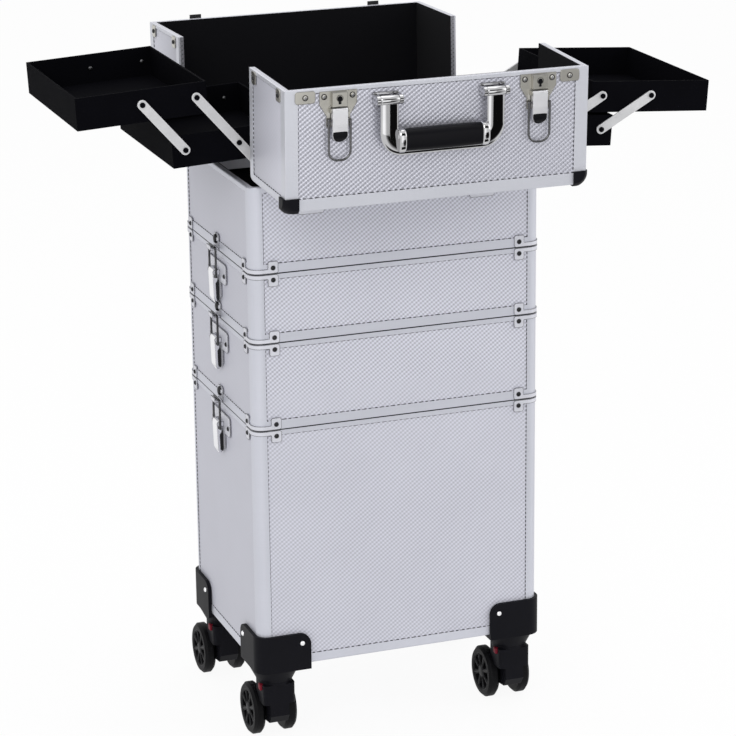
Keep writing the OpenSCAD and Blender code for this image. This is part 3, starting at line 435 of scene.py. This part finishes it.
def lidFace(lid, face):  # (along, out, across) on a face of the open lid: closed place, turned about the hinge
    turn, angle, _ = lidSize[lid]
    w, reach, c, s = caseSize["halfW"], lidSize["reach"], math.cos(math.radians(angle)), math.sin(math.radians(angle))
    flip = -1 if turn else 1
    def place(p):
        a, out, b = np.moveaxis(np.asarray(p, float), -1, 0)
        x, y, z = {"top": (a, b, lidSize["high"] + out), "wall": (a, -out, b),
                   "left": (-w - out, a, b), "right": (w + out, a, b)}[face]
        y, z = (y + reach) * c - z * s, (y + reach) * s + z * c
        y = y - caseSize["halfD"] - reach
        return np.stack([x * flip, y * flip, z + caseSize["top"]], -1) * mm
    return place


shadowStripLook = {"wide": 0.8, "high": 0.75, "foot": 0.04, "sunk": -0.3}


def edgeBead(place, low, high):  # four-cornered loop of painted shadow along the profile's inner edge; its section is a steep fillet from the profile down to the panel
    (a0, b0), (a1, b1) = low, high
    wide, top, foot, sunk = (shadowStripLook[key] for key in ("wide", "high", "foot", "sunk"))
    ring = np.array([(a0, b0, 1, 1), (a1, b0, -1, 1), (a1, b1, -1, -1), (a0, b1, 1, -1)], float)
    section = np.array([(sunk, sunk), (sunk, top), (0.0, top), (wide, foot), (wide, sunk)])
    a = ring[:, None, 0] + ring[:, None, 2] * section[None, :, 0]
    b = ring[:, None, 1] + ring[:, None, 3] * section[None, :, 0]
    out = section[None, :, 1] - caseSize["step"] + 0 * a
    return gridPart(place(np.stack([a, out, b], -1)), True, True)


# dark strips of painted shadow round every window of the case and the lids
def windowBeads():
    w, d, post = caseSize["halfW"], caseSize["halfD"], caseSize["post"]
    parts = []
    for z, tall in caseSize["tiers"]:
        low, high = z + caseSize["rim"], z + tall - caseSize["topRim"]
        for face, half in (("front", w), ("back", w), ("left", d), ("right", d)):
            parts.append(edgeBead(caseFace(face), (post - half, low), (half - post, high)))
    makePiece("panel_edges_case", parts, "painted_edge_shadow", "case")
    for lid in ("front_lid", "back_lid"):
        low, high, deep = caseSize["rim"], lidSize["high"] - lidSize["rim"], lidSize[lid][2] - lidSize["edge"]
        parts = [edgeBead(lidFace(lid, "wall"), (post - w, low), (w - post, high)),
                 edgeBead(lidFace(lid, "top"), (post - w, lidSize["rim"]), (w - post, deep))]
        parts += [edgeBead(lidFace(lid, side), (post, low), (deep, high)) for side in ("left", "right")]
        makePiece("panel_edges_" + lid, parts, "painted_edge_shadow", lid)


seamLook = {"steps": 9, "section": [(-0.9, -0.66), (-0.25, -0.66), (-0.25, 0.66), (-0.9, 0.66)]}  # (out, up)


def seamLines():  # a dark strip of painted shade set into each seam between the tiers: straight sides joined by quarter circles of radius r, the small section carried along them
    w, d, r, steps = caseSize["halfW"], caseSize["halfD"], caseSize["corner"], seamLook["steps"]
    angle = (np.linspace(0, fullTurn / 4, steps)[None] + np.arange(4)[:, None] * fullTurn / 4).ravel()
    middle = np.repeat(np.array([(w - r, d - r), (r - w, d - r), (r - w, r - d), (w - r, r - d)]), steps, axis=0)
    outward = np.stack([np.cos(angle), np.sin(angle)], -1)
    section = np.array(seamLook["section"])[None]
    flat = middle[:, None] + outward[:, None] * (r + section[..., :1])
    parts = [gridPart(np.concatenate([flat, z + section[..., 1:] + 0 * flat[..., :1]], -1) * mm, True, True)
             for z in caseSize["seams"]]
    makePiece("tier_seam_painted_shade", parts, "painted_shade_and_reflection_black", "case")


windowBeads()
seamLines()
print("panel edges and seams drawn")

rivetLook = {  # (radius, height) from the pole
    "dark": [(0, 1.62), (1.3, 1.56), (1.8, 1.42), (2.75, 0.12), (2.75, 0), (0, 0)],
    "ring": [(0, 0), (3.2, 0), (3.2, 0.3), (2.3, 0.42), (0, 0.42)],
    "dome": [(0, 2.0), (0.9, 1.86), (1.5, 1.5), (1.75, 0.9), (1.75, 0.3), (0, 0.3)],
    "bright": [(0, 2.0), (1.4, 1.84), (2.4, 1.3), (3.0, 0.5), (3.0, 0), (0, 0)],
    "hook": [(0, 3.3), (2.2, 3.1), (4.0, 2.5), (5.2, 1.5), (5.6, 0.4), (5.6, 0), (0, 0)],
}
rivetSpots = {
    "seam": (25.0, 23.0, 6.8),  # in from the end of the front, of the side, and above or below the seam
    "latch": (27.0, 25.0), "hook": 12.7,  # either side of the latch's middle and below the seam; above the seam
    "hinge": (9.0, 27.0, 13.0),  # either side of a hinge's middle, below the case's top, up the lid's wall
    "bracket": (49.5, 4.0, 26.5),  # in from the end, the plate's thickness, above the case's bottom
    "lidCorner": (148.0, 8.0), "front_lid": (15.5, 8.5), "back_lid": (8.0, 15.0),  # from the middle, in from the edge
    "lidSide": (7.8, 17.0, 19.0),  # in from the edge, up from the hinge side, down from the top
}


def turned(place, spot, profile, steps=20):  # a profile carried round the outward axis at one spot
    angle = np.linspace(0, fullTurn, steps, endpoint=False)[:, None]
    r, h = np.array(profile, float).T
    ring = [spot[0] + r * np.cos(angle), spot[1] + h + 0 * angle, spot[2] + r * np.sin(angle)]
    return gridPart(place(np.stack(ring, -1)), True)


def rivetRow(faceOf, rows, profile):
    return [turned(faceOf(face), spot, rivetLook[profile]) for face, *spot in rows]


def caseRivets():
    dark, plated, bright, hooks = [], [], [], []
    plate, w, d, bottom = caseSize["plate"], caseSize["halfW"], caseSize["halfD"], caseSize["tiers"][0][0]
    frontIn, sideIn, seamRise = rivetSpots["seam"]
    latchOut, latchDrop = rivetSpots["latch"]
    hingeOut, hingeDrop, _ = rivetSpots["hinge"]
    bracketIn, thick, bracketRise = rivetSpots["bracket"]
    reach = {"front": w - frontIn, "back": w - frontIn, "left": d - sideIn, "right": d - sideIn}
    for z in caseSize["seams"]:
        for face, along in reach.items():
            dark += [(face, a, plate, z + up * seamRise) for a in (-along, along) for up in (-1, 1)]
        for face in ("left", "right"):
            dark += [(face, a, plate, z - latchDrop) for a in (-latchOut, latchOut)]
            hooks += [(face, 0, plate, z + rivetSpots["hook"])]
    for face in ("front", "back"):
        plated += [(face, sx * caseSize["hinge"] + a, plate, caseSize["top"] - hingeDrop)
                   for sx in (-1, 1) for a in (-hingeOut, hingeOut)]
    for face, half in (("front", w), ("back", w), ("left", d), ("right", d)):
        bright += [(face, sx * (half - bracketIn), thick, bottom + bracketRise) for sx in (-1, 1)]
    # painted reflection: the seam rivets and latch hooks are made dark for the dark they reflect; painted shade: dark
    # rings round the hinge rivets
    darkParts = rivetRow(caseFace, dark, "dark") + rivetRow(caseFace, hooks, "hook")
    darkParts += rivetRow(caseFace, plated, "ring")
    makePiece("case_rivets_dark", darkParts, "painted_shade_and_reflection_black", "case")
    brightParts = rivetRow(caseFace, bright, "bright") + rivetRow(caseFace, plated, "dome")
    makePiece("case_rivets_bright", brightParts, "bright_rivet", "case")


def lidRivets(lid):
    deep, plate, latch, hinge = lidSize[lid][2], caseSize["plate"], lidSize["latch"], caseSize["hinge"]
    cornerOut, cornerIn = rivetSpots["lidCorner"]
    hingeOut, _, hingeRise = rivetSpots["hinge"]
    latchOut, latchIn = rivetSpots[lid]
    sideIn, sideLow, sideHigh = rivetSpots["lidSide"]
    def faceOf(face): return lidFace(lid, face)
    spots = [("top", sx * cornerOut, plate, deep - cornerIn) for sx in (-1, 1)]
    spots += [("wall", sx * hinge + a, plate, hingeRise) for sx in (-1, 1) for a in (-hingeOut, hingeOut)]
    spots += [("top", sx * latch + a, plate, deep - latchIn) for sx in (-1, 1) for a in (-latchOut, latchOut)]
    heights = sideLow, lidSize["high"] - sideHigh
    sides = [(side, deep - sideIn, plate, z) for side in ("left", "right") for z in heights]
    # painted shade: dark rings round the domes; painted reflection: dark side rivets and darkened domes
    rings = rivetRow(faceOf, spots, "ring") + rivetRow(faceOf, sides, "dark")
    makePiece(lid + "_rivet_rings", rings, "painted_shade_and_reflection_black", lid)
    makePiece(lid + "_rivet_domes", rivetRow(faceOf, spots, "dome"), "painted_reflection_rivet", lid)


caseRivets()
lidRivets("front_lid")
lidRivets("back_lid")
print("rivets set")

keyLook = {"round": 3.7, "half": 1.5, "tail": 6.3, "top": 6.62, "back": 10.0, "tailFrom": -0.92,
           "share": (0.0, 0.6, 0.92, 1.0, 1.0, 0.0), "drop": (0.5, 0.35, 0.08, 0.0, 1.5, 1.5)}
padLook = {"half": 8.1, "from": 45.2, "middle": 48.0, "to": 56.8, "rise": 0.8, "square": 0.35,
           "share": (0.0, 0.35, 0.65, 0.85, 0.96, 1.0, 1.0, 0.0),
           "crown": (1.0, 0.93, 0.75, 0.5, 0.25, 0.05, -0.8, -0.8),
           "lever": ((38, 52, 57), (7.6, 7.0, 3.6))}  # the lever's top: distance from the lid's edge, height


def keyholes():  # a round hole with a tail, its outline drawn in towards the middle and dished a little, matt black as painted shade inside the hole
    place, deep = lidFace("front_lid", "top"), lidSize["front_lid"][2]
    angle = np.linspace(0, fullTurn, 48, endpoint=False)
    inTail = np.sin(angle) < keyLook["tailFrom"]
    reach = np.where(inTail, keyLook["tail"], keyLook["round"])
    x, y = np.cos(angle) * reach, np.sin(angle) * reach
    x = np.where(inTail, np.clip(x, -keyLook["half"], keyLook["half"]), x)
    share, drop = np.array(keyLook["share"])[None], np.array(keyLook["drop"])[None]
    x, y = x[:, None] * share, y[:, None] * share
    parts = []
    for sx in (-1, 1):
        spot = [sx * lidSize["latch"] + x, keyLook["top"] - drop + 0 * x, deep - keyLook["back"] + y]
        parts.append(gridPart(place(np.stack(spot, -1)), True))
    makePiece("lock_keyholes", parts, "black_lining", "front_lid")


def thumbPad(side, sx):  # half-disc, square towards the pivot and round at the tip, crowned above the lever's slope
    place, deep = lidFace("front_lid", "top"), lidSize["front_lid"][2]
    angle = np.linspace(0, fullTurn, 56, endpoint=False)[:, None]
    share, crown = np.array(padLook["share"])[None], np.array(padLook["crown"])[None] * padLook["rise"]
    c, t = np.cos(angle), np.sin(angle)
    power = np.where(t > 0, padLook["square"], 1.0)
    high = np.where(t > 0, padLook["middle"] - padLook["from"], padLook["to"] - padLook["middle"])
    x = padLook["half"] * np.sign(c) * np.abs(c) ** power * share
    s = padLook["middle"] - high * np.sign(t) * np.abs(t) ** power * share
    lever = np.interp(s, *padLook["lever"])
    pad = gridPart(place(np.stack([sx * lidSize["latch"] + x, lever + crown, deep - s], -1)), True)
    makePiece(side + "_thumb_pad", [pad], "black_grip", side + "_lid_lever", 60)


keyholes()
thumbPad("left", -1)
thumbPad("right", 1)
print("locks finished")

bailLook = {"pivot": (59.5, 15.0, 11.0), "wide": 20.0, "thick": 5.2, "bend": 15.0, "straight": 50.0, "power": 3.0,
            # (share of the half width, radius), then (past the grip's end, share of the grip's section)
            "knuckle": [(-1, 0), (-1, 4.6), (-0.93, 5.0), (0.93, 5.0), (1, 4.6), (1, 0)],
            "collar": [(-0.5, 0), (-0.5, 0.98), (0.3, 1.05), (1.2, 1.07),
                       (4.8, 1.07), (6.2, 1.03), (7.0, 0.96), (7.0, 0)]}
gripLook = {"long": 87.0, "down": 59.0, "high": 24.0, "deep": 17.0, "power": 3.0, "full": 0.035, "even": 0.94,
            "end": [(1, 0), (1, 0.86), (0.995, 0.92), (0.98, 0.955)]}  # (share of the half length, of the section)


def rounded(angle, power):  # superellipse: |x|^p + |y|^p = 1
    c, s = np.cos(angle), np.sin(angle)
    return np.sign(c) * np.abs(c) ** (2 / power), np.sign(s) * np.abs(s) ** (2 / power)


def onHandle(x, size, section, down):  # a section scaled at each x along the handle, so far down from the lid's edge
    across, rise = section
    points = [x[:, None] + 0 * across, bailLook["pivot"][2] + size[:, None] * rise,
              lidSize["front_lid"][2] - down + size[:, None] * across]
    return gridPart(lidFace("front_lid", "top")(np.stack(points, -1)), False, True)


def gripSection(around):
    across, rise = rounded(around, gripLook["power"])
    return across * gripLook["high"] / 2, rise * gripLook["deep"] / 2


def carryBail():  # a crowned band carried down, round two quarter bends and up; collars and knuckles at its ends
    px, ps, pn = bailLook["pivot"]
    bend, down, half = bailLook["bend"], bailLook["straight"], bailLook["wide"] / 2
    turn = np.linspace(0, fullTurn / 4, 17)
    x = np.concatenate([np.full(9, px), px - bend + bend * np.cos(turn)])
    s = np.concatenate([np.linspace(ps - 1, down - 1, 9), down + bend * np.sin(turn)])
    heading = np.concatenate([np.zeros(9), turn])
    x, s = np.append(x, -x[::-1])[:, None], np.append(s, s[::-1])[:, None]
    heading = np.append(heading, math.pi - heading[::-1])[:, None]
    around = np.linspace(0, fullTurn, 40, endpoint=False)
    across, rise = rounded(around, bailLook["power"])
    bx, bs = x + half * across * np.cos(heading), s + half * across * np.sin(heading)
    band = np.stack([bx, pn + bailLook["thick"] / 2 * rise + 0 * bx, lidSize["front_lid"][2] - bs], -1)
    parts = [gridPart(lidFace("front_lid", "top")(closedEnds(band)), False, True)]
    along, radius = np.array(bailLook["knuckle"], float).T
    past, share = np.array(bailLook["collar"], float).T
    for sx in (-1, 1):
        parts.append(onHandle(sx * px + along * half, radius, (np.cos(around), np.sin(around)), ps))
        parts.append(onHandle(sx * (gripLook["long"] / 2 + past), share, gripSection(around), gripLook["down"]))
    piece = makePiece("carry_bail", parts, "chrome", "carry_handle", 35)
    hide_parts("handle_bail")


def carryGrip():  # superellipse section carried along the bar, a little fuller in the middle and rounded at the ends
    t = np.linspace(-gripLook["even"], gripLook["even"], 33)
    end, endSize = np.array(gripLook["end"]).T
    size = 1 - gripLook["full"] * t ** 2
    t, size = np.concatenate([-end, t, end[::-1]]), np.concatenate([endSize, size, endSize[::-1]])
    section = gripSection(np.linspace(0, fullTurn, 56, endpoint=False))
    bar = onHandle(gripLook["long"] / 2 * t, size, section, gripLook["down"])
    piece = makePiece("carry_grip", [bar], "black_grip", "carry_handle", 50)
    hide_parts("handle_grip")


carryBail()
carryGrip()
print("carry handle lofted")

coreLook = {"pivot": 24.0, "half": 7.9, "along": (-11.5, -13.0, -24.0, -31.5, -33.0),
            "low": (2.0, 1.5, 1.5, 1.6, 2.0), "high": (3.6, 5.3, 5.1, 4.9, 2.8)}
lipLook = {"half": 7.0, "from": 3.0, "over": 3.4, "low": 6.4, "thick": 1.5, "tip": 0.4, "arch": 0.5}
trayLook = {"base": (129.5, 653.0), "arm": 70.0, "wall": 103.8,
            "left": (-1, 41.0, 3.0), "right": (1, 61.0, 4.0),  # side, the arms' angle, the trays' droop
            "lower": (1, (-50, 0, 60)), "upper": (2, (0, 60)),  # arm lengths up, pivots along the tray
            "head": [(0, 1.5), (1.1, 1.35), (2.0, 0.9), (2.5, 0.2), (2.5, -0.2), (0, -0.2)]}


def leverCore(side, number):  # a dark spring blade under a side lever, made black as painted shade for the gap between lever and base plate: its section along the lever, carried across
    v = caseSize["seams"][3 - number] - coreLook["pivot"] + np.array(coreLook["along"])
    out, v = np.concatenate([coreLook["low"], coreLook["high"][::-1]]), np.concatenate([v, v[::-1]])
    across = np.array([-1.0, 1.0])[:, None] * coreLook["half"]
    blade = np.stack([across + 0 * out, out + 0 * across, v + 0 * across], -1)
    part = gridPart(caseFace(side)(closedEnds(blade)), False, True)
    lever = side + "_lever" + str(number)
    makePiece(side + "_lever_core" + str(number), [part], "painted_shade_and_reflection_black", lever, 30)


def catchLips():  # the catch's lip over the meeting edge: an arched strip, thinner at its tip, made dark as painted shade for its underside
    place, deep = lidFace("back_lid", "top"), lidSize["back_lid"][2]
    start, over = -lipLook["from"], lipLook["over"]
    across = np.linspace(-1, 1, 9)[:, None] * lipLook["half"]
    along = np.array([start, over, over, start])[None]
    rise = lipLook["low"] + np.array([0.0, lipLook["tip"], 1.0, 1.0])[None] * lipLook["thick"]
    rise = rise - (across / lipLook["half"]) ** 2 * lipLook["arch"]
    parts = []
    for sx in (-1, 1):
        strip = np.stack([sx * lidSize["latch"] + across + 0 * along, rise, deep + along + 0 * across], -1)
        parts.append(gridPart(place(closedEnds(strip)), False, True))
    makePiece("lid_catch_lips", parts, "painted_shade_and_reflection_black", "back_lid", 30)


def trayRivets(side, level):  # the pivots' inner heads on a tray's end walls
    sx, angle, droop = trayLook[side]
    links, pivots = trayLook[level]
    a, d, reach = math.radians(angle), math.radians(droop), links * trayLook["arm"]
    parts = []
    for u in pivots:
        x = sx * (trayLook["base"][0] + reach * math.sin(a) + u * math.cos(d))
        z = trayLook["base"][1] + reach * math.cos(a) - u * math.sin(d)
        for end in (-1, 1):
            def place(p):
                h, out, v = np.moveaxis(np.asarray(p, float), -1, 0)
                return np.stack([x + h, end * (trayLook["wall"] - out), z + v], -1) * mm
            parts.append(turned(place, (0, 0, 0), trayLook["head"]))
    tray = side + "_" + level + "_tray"
    makePiece(tray + "_rivets", parts, "dull_rivet", tray)


for side in ("left", "right"):
    for number in (1, 2, 3):
        leverCore(side, number)
    for level in ("lower", "upper"):
        trayRivets(side, level)
catchLips()
print("latch cores, catch lips and tray rivets added")

wheelLook = {"inX": 25.0, "inY": 26.0, "trail": 25.0, "radius": 30.5, "face": 24.55, "rim": 22.3, "tube": 0.7,
             "hub": [(0, 1.0), (3.2, 0.9), (5.6, 0.6), (6.6, 0.1), (6.6, -0.5), (0, -0.5)],  # (radius, height)
             "spokes": 8, "first": 22.5, "crown": 0.55,
             "spoke": [(6.0, 0), (6.0, 0.7), (10.0, 0.7), (16.0, 0.9), (22.0, 1.2), (22.0, 0)]}  # (radius, half width)
tabLook = {"spot": (-19.0, -8.0, 69.5), "wide": 5.2, "deep": 8.6, "tall": 7.6, "power": 4.5}
corners = {"front_left": (-1, -1), "front_right": (1, -1), "back_left": (-1, 1), "back_right": (1, 1)}


def swivelSpot(corner):
    sx, sy = corners[corner]
    return sx * (caseSize["halfW"] - wheelLook["inX"]), sy * (caseSize["halfD"] - wheelLook["inY"])


def wheelTrim(corner):  # on each outer face: a thin rim ring, a hub dome and crowned spokes between the recesses
    x0, y0 = swivelSpot(corner)
    angle = np.linspace(0, fullTurn, 48, endpoint=False)[:, None]
    ring = np.linspace(0, fullTurn, 8, endpoint=False)[None]
    r = wheelLook["rim"] + wheelLook["tube"] * np.cos(ring)
    rim = np.stack([r * np.cos(angle), wheelLook["tube"] * np.sin(ring) + 0 * angle, r * np.sin(angle)], -1)
    along, wide = np.array(wheelLook["spoke"], float).T[..., None]
    across = wide * np.cos(ring)
    rise = np.where(wide > 0, wheelLook["crown"], 0) * np.sin(ring)
    parts = []
    for sx in (-1, 1):
        def place(p):
            a, out, b = np.moveaxis(np.asarray(p, float), -1, 0)
            x, y, z = x0 + sx * (wheelLook["face"] + out), y0 + wheelLook["trail"] + a, wheelLook["radius"] + b
            return np.stack([x, y, z], -1) * mm
        parts.append(gridPart(place(rim), True, True))
        parts.append(turned(place, (0, 0, 0), wheelLook["hub"], 32))
        for k in range(wheelLook["spokes"]):
            turn = math.radians(wheelLook["first"]) + fullTurn * k / wheelLook["spokes"]
            c, s = math.cos(turn), math.sin(turn)
            spoke = np.stack([along * c - across * s, rise, along * s + across * c], -1)
            parts.append(gridPart(place(spoke), False, True))
    makePiece(corner + "_wheel_trim", parts, "spoke_grey", corner + "_wheels", 50)


def redTab(corner):  # superellipsoid: |x|^p + |y|^p + |z|^p = 1, stretched to the tab's size
    centre = np.array([*swivelSpot(corner), 0]) + tabLook["spot"]
    around, up = np.linspace(0, fullTurn, 33)[:-1], np.linspace(-fullTurn / 4, fullTurn / 4, 17)
    a, b = np.meshgrid(around, up, indexing="ij")
    ax, ay = rounded(a, tabLook["power"])
    bx, bz = rounded(b, tabLook["power"])
    size = np.array([tabLook["wide"], tabLook["deep"], tabLook["tall"]]) / 2
    ball = np.stack([bx * ax, bx * ay, bz], -1)
    tab = gridPart((centre + ball * size) * mm, True)
    makePiece("red_tab_" + corner, [tab], "red_plastic", corner + "_fork", smooth=60)


for corner in corners:
    wheelTrim(corner)
    redTab(corner)
print("wheels and release tabs trimmed")

stageLook = {"floor": 0.9, "half": 40.0, "shown": 0.93, "world": 0.78}
lampLook = {  # power, size, place, aim
    "key": (28.0, 1.6, (-1.6, -2.4, 2.2), (0, 0, 0.45)),
    "fill": (14.0, 1.8, (2.4, -1.2, 1.4), (0, 0, 0.45)),
    "top": (16.0, 2.0, (0.2, 0.4, 2.8), (0, 0, 0.4)),
    "low": (4.5, 1.4, (0.1, -2.6, 0.45), (0, 0, 0.55)),
}
flagLook = {  # corner and two edges of each card, and how steeply its edges fade
    "far": ((0.35, -3.4, 0.004), (1.9, 0, 0), (0, 2.0, 0)),
    "near": ((-0.3, -1.5, 0.004), (1.2, 0, 0), (0, 0.8, 0)),
    "above": ((-0.6, -2.9, 1.0), (3.2, 0, 0), (0, 0, 1.7)),
    "fade": 7.0,
}


def seenRays(tree):  # 1 for rays from the camera, in reflections or through glass
    rays = tree.nodes.new("ShaderNodeLightPath")
    total = tree.nodes.new("ShaderNodeMath")
    total.operation = "ADD"
    tree.links.new(rays.outputs["Is Camera Ray"], total.inputs[0])
    tree.links.new(rays.outputs["Is Glossy Ray"], total.inputs[1])
    seen = tree.nodes.new("ShaderNodeMath")
    seen.operation, seen.use_clamp = "ADD", True
    tree.links.new(total.outputs[0], seen.inputs[0])
    tree.links.new(rays.outputs["Is Transmission Ray"], seen.inputs[1])
    return seen.outputs[0]


def paleFloor():  # white where it is seen, diffuse for light and shadow
    f = Finish("pale_floor")
    f.done(Base_Color=(stageLook["floor"],) * 3, Roughness=0.9, Specular_IOR_Level=0.1)
    seen = Wire(f, seenRays(f.tree))
    glow = f.node("ShaderNodeEmission", {}, {"Color": (1.0, 1.0, 1.0), "Strength": 1.0})
    shell = Wire(f, f.shell.outputs[0])
    shown = f.node("ShaderNodeMixShader", {}, {0: seen * stageLook["shown"], 1: shell, 2: glow})
    f.tree.links.new(shown.socket, f.out.inputs[0])
    return f.material


def stageCard(name, points, material):  # one quad that belongs to the studio and not to the part
    mesh = bpy.data.meshes.new(name)
    mesh.from_pydata(points, [], [(0, 1, 2, 3)])
    mesh.uv_layers.new(name="card").data.foreach_set("uv", np.array([0, 0, 1, 0, 1, 1, 0, 1], float))
    mesh.materials.append(material)
    card = bpy.data.objects.new(name, mesh)
    bpy.context.scene.collection.objects.link(card)
    return card


def studio():
    half = stageLook["half"]
    stageCard("floor", [(-half, -half, 0), (half, -half, 0), (half, half, 0), (-half, half, 0)], paleFloor())
    world = bpy.data.worlds.new("studio")
    bpy.context.scene.world = world
    world.use_nodes = True
    tree = world.node_tree
    tree.nodes.clear()
    ambient, shown = tree.nodes.new("ShaderNodeBackground"), tree.nodes.new("ShaderNodeBackground")
    for light, strength in ((ambient, stageLook["world"]), (shown, 1.0)):
        light.inputs["Color"].default_value = (1, 1, 1, 1)
        light.inputs["Strength"].default_value = strength
    mix, out = tree.nodes.new("ShaderNodeMixShader"), tree.nodes.new("ShaderNodeOutputWorld")
    tree.links.new(seenRays(tree), mix.inputs[0])
    tree.links.new(ambient.outputs[0], mix.inputs[1])
    tree.links.new(shown.outputs[0], mix.inputs[2])
    tree.links.new(mix.outputs[0], out.inputs[0])


def darkFlag(which):  # soft-edged dark card that only metal mirrors
    corner, along, across = (np.array(v) for v in flagLook[which])
    f = Finish("flag_cloth_" + which)
    weave = f.noise(200.0)
    u, v, _ = f.split(f.node("ShaderNodeUVMap", {"uv_map": "card"}))
    cloth = f.done(
        Base_Color=f.blend(weave, (0.004, 0.004, 0.004), (0.01, 0.01, 0.01)),
        Roughness=0.9 + weave * 0.05,
        Alpha=(u * (1 - u) * flagLook["fade"]).clamp() * (v * (1 - v) * flagLook["fade"]).clamp(),
        Specular_IOR_Level=0.0,
    )
    points = np.array([corner, corner + along, corner + along + across, corner + across]).tolist()
    flag = stageCard("flag_" + which, points, cloth)
    flag.visible_camera = flag.visible_diffuse = flag.visible_shadow = flag.visible_transmission = False


def softLamp(name, power, size, spot, aim):
    lamp = bpy.data.lights.new(name, "AREA")
    lamp.energy, lamp.size = power, size
    holder = bpy.data.objects.new(name, lamp)
    bpy.context.scene.collection.objects.link(holder)
    holder.location = spot
    holder.rotation_euler = (Vector(aim) - Vector(spot)).to_track_quat("-Z", "Y").to_euler()


studio()
for which in ("far", "near", "above"):
    darkFlag(which)
for name, look in lampLook.items():
    softLamp(name, *look)
print("studio lit")

# fitted to the photo's seams, lids and trays; pixels is the focal length on a picture so many pixels wide
cameraLook = {"spot": (-1.0992, -3.0475, 1.4086), "yaw": 0.3485, "pitch": 0.3017, "roll": -0.0116,
              "pixels": 2933.8, "picture": 736, "clip": (0.05, 100.0)}


def photoCamera():
    yaw, pitch, roll = cameraLook["yaw"], cameraLook["pitch"], cameraLook["roll"]
    ahead = Vector((math.sin(yaw) * math.cos(pitch), math.cos(yaw) * math.cos(pitch), -math.sin(pitch)))
    right = Vector((math.cos(yaw), -math.sin(yaw), 0))
    up = right.cross(ahead)
    across = right * math.cos(roll) + up * math.sin(roll)
    above = up * math.cos(roll) - right * math.sin(roll)
    lens = bpy.data.cameras.new("photo_camera")
    lens.sensor_width = 36.0
    lens.lens = cameraLook["pixels"] / cameraLook["picture"] * lens.sensor_width
    lens.clip_start, lens.clip_end = cameraLook["clip"]
    camera = bpy.data.objects.new("photo_camera", lens)
    bpy.context.scene.collection.objects.link(camera)
    camera.matrix_world = Matrix.Translation(cameraLook["spot"]) @ Matrix((across, above, -ahead)).transposed().to_4x4()
    bpy.context.scene.camera = camera


photoCamera()
bpy.context.scene.view_settings.view_transform = "Standard"
print("camera set")
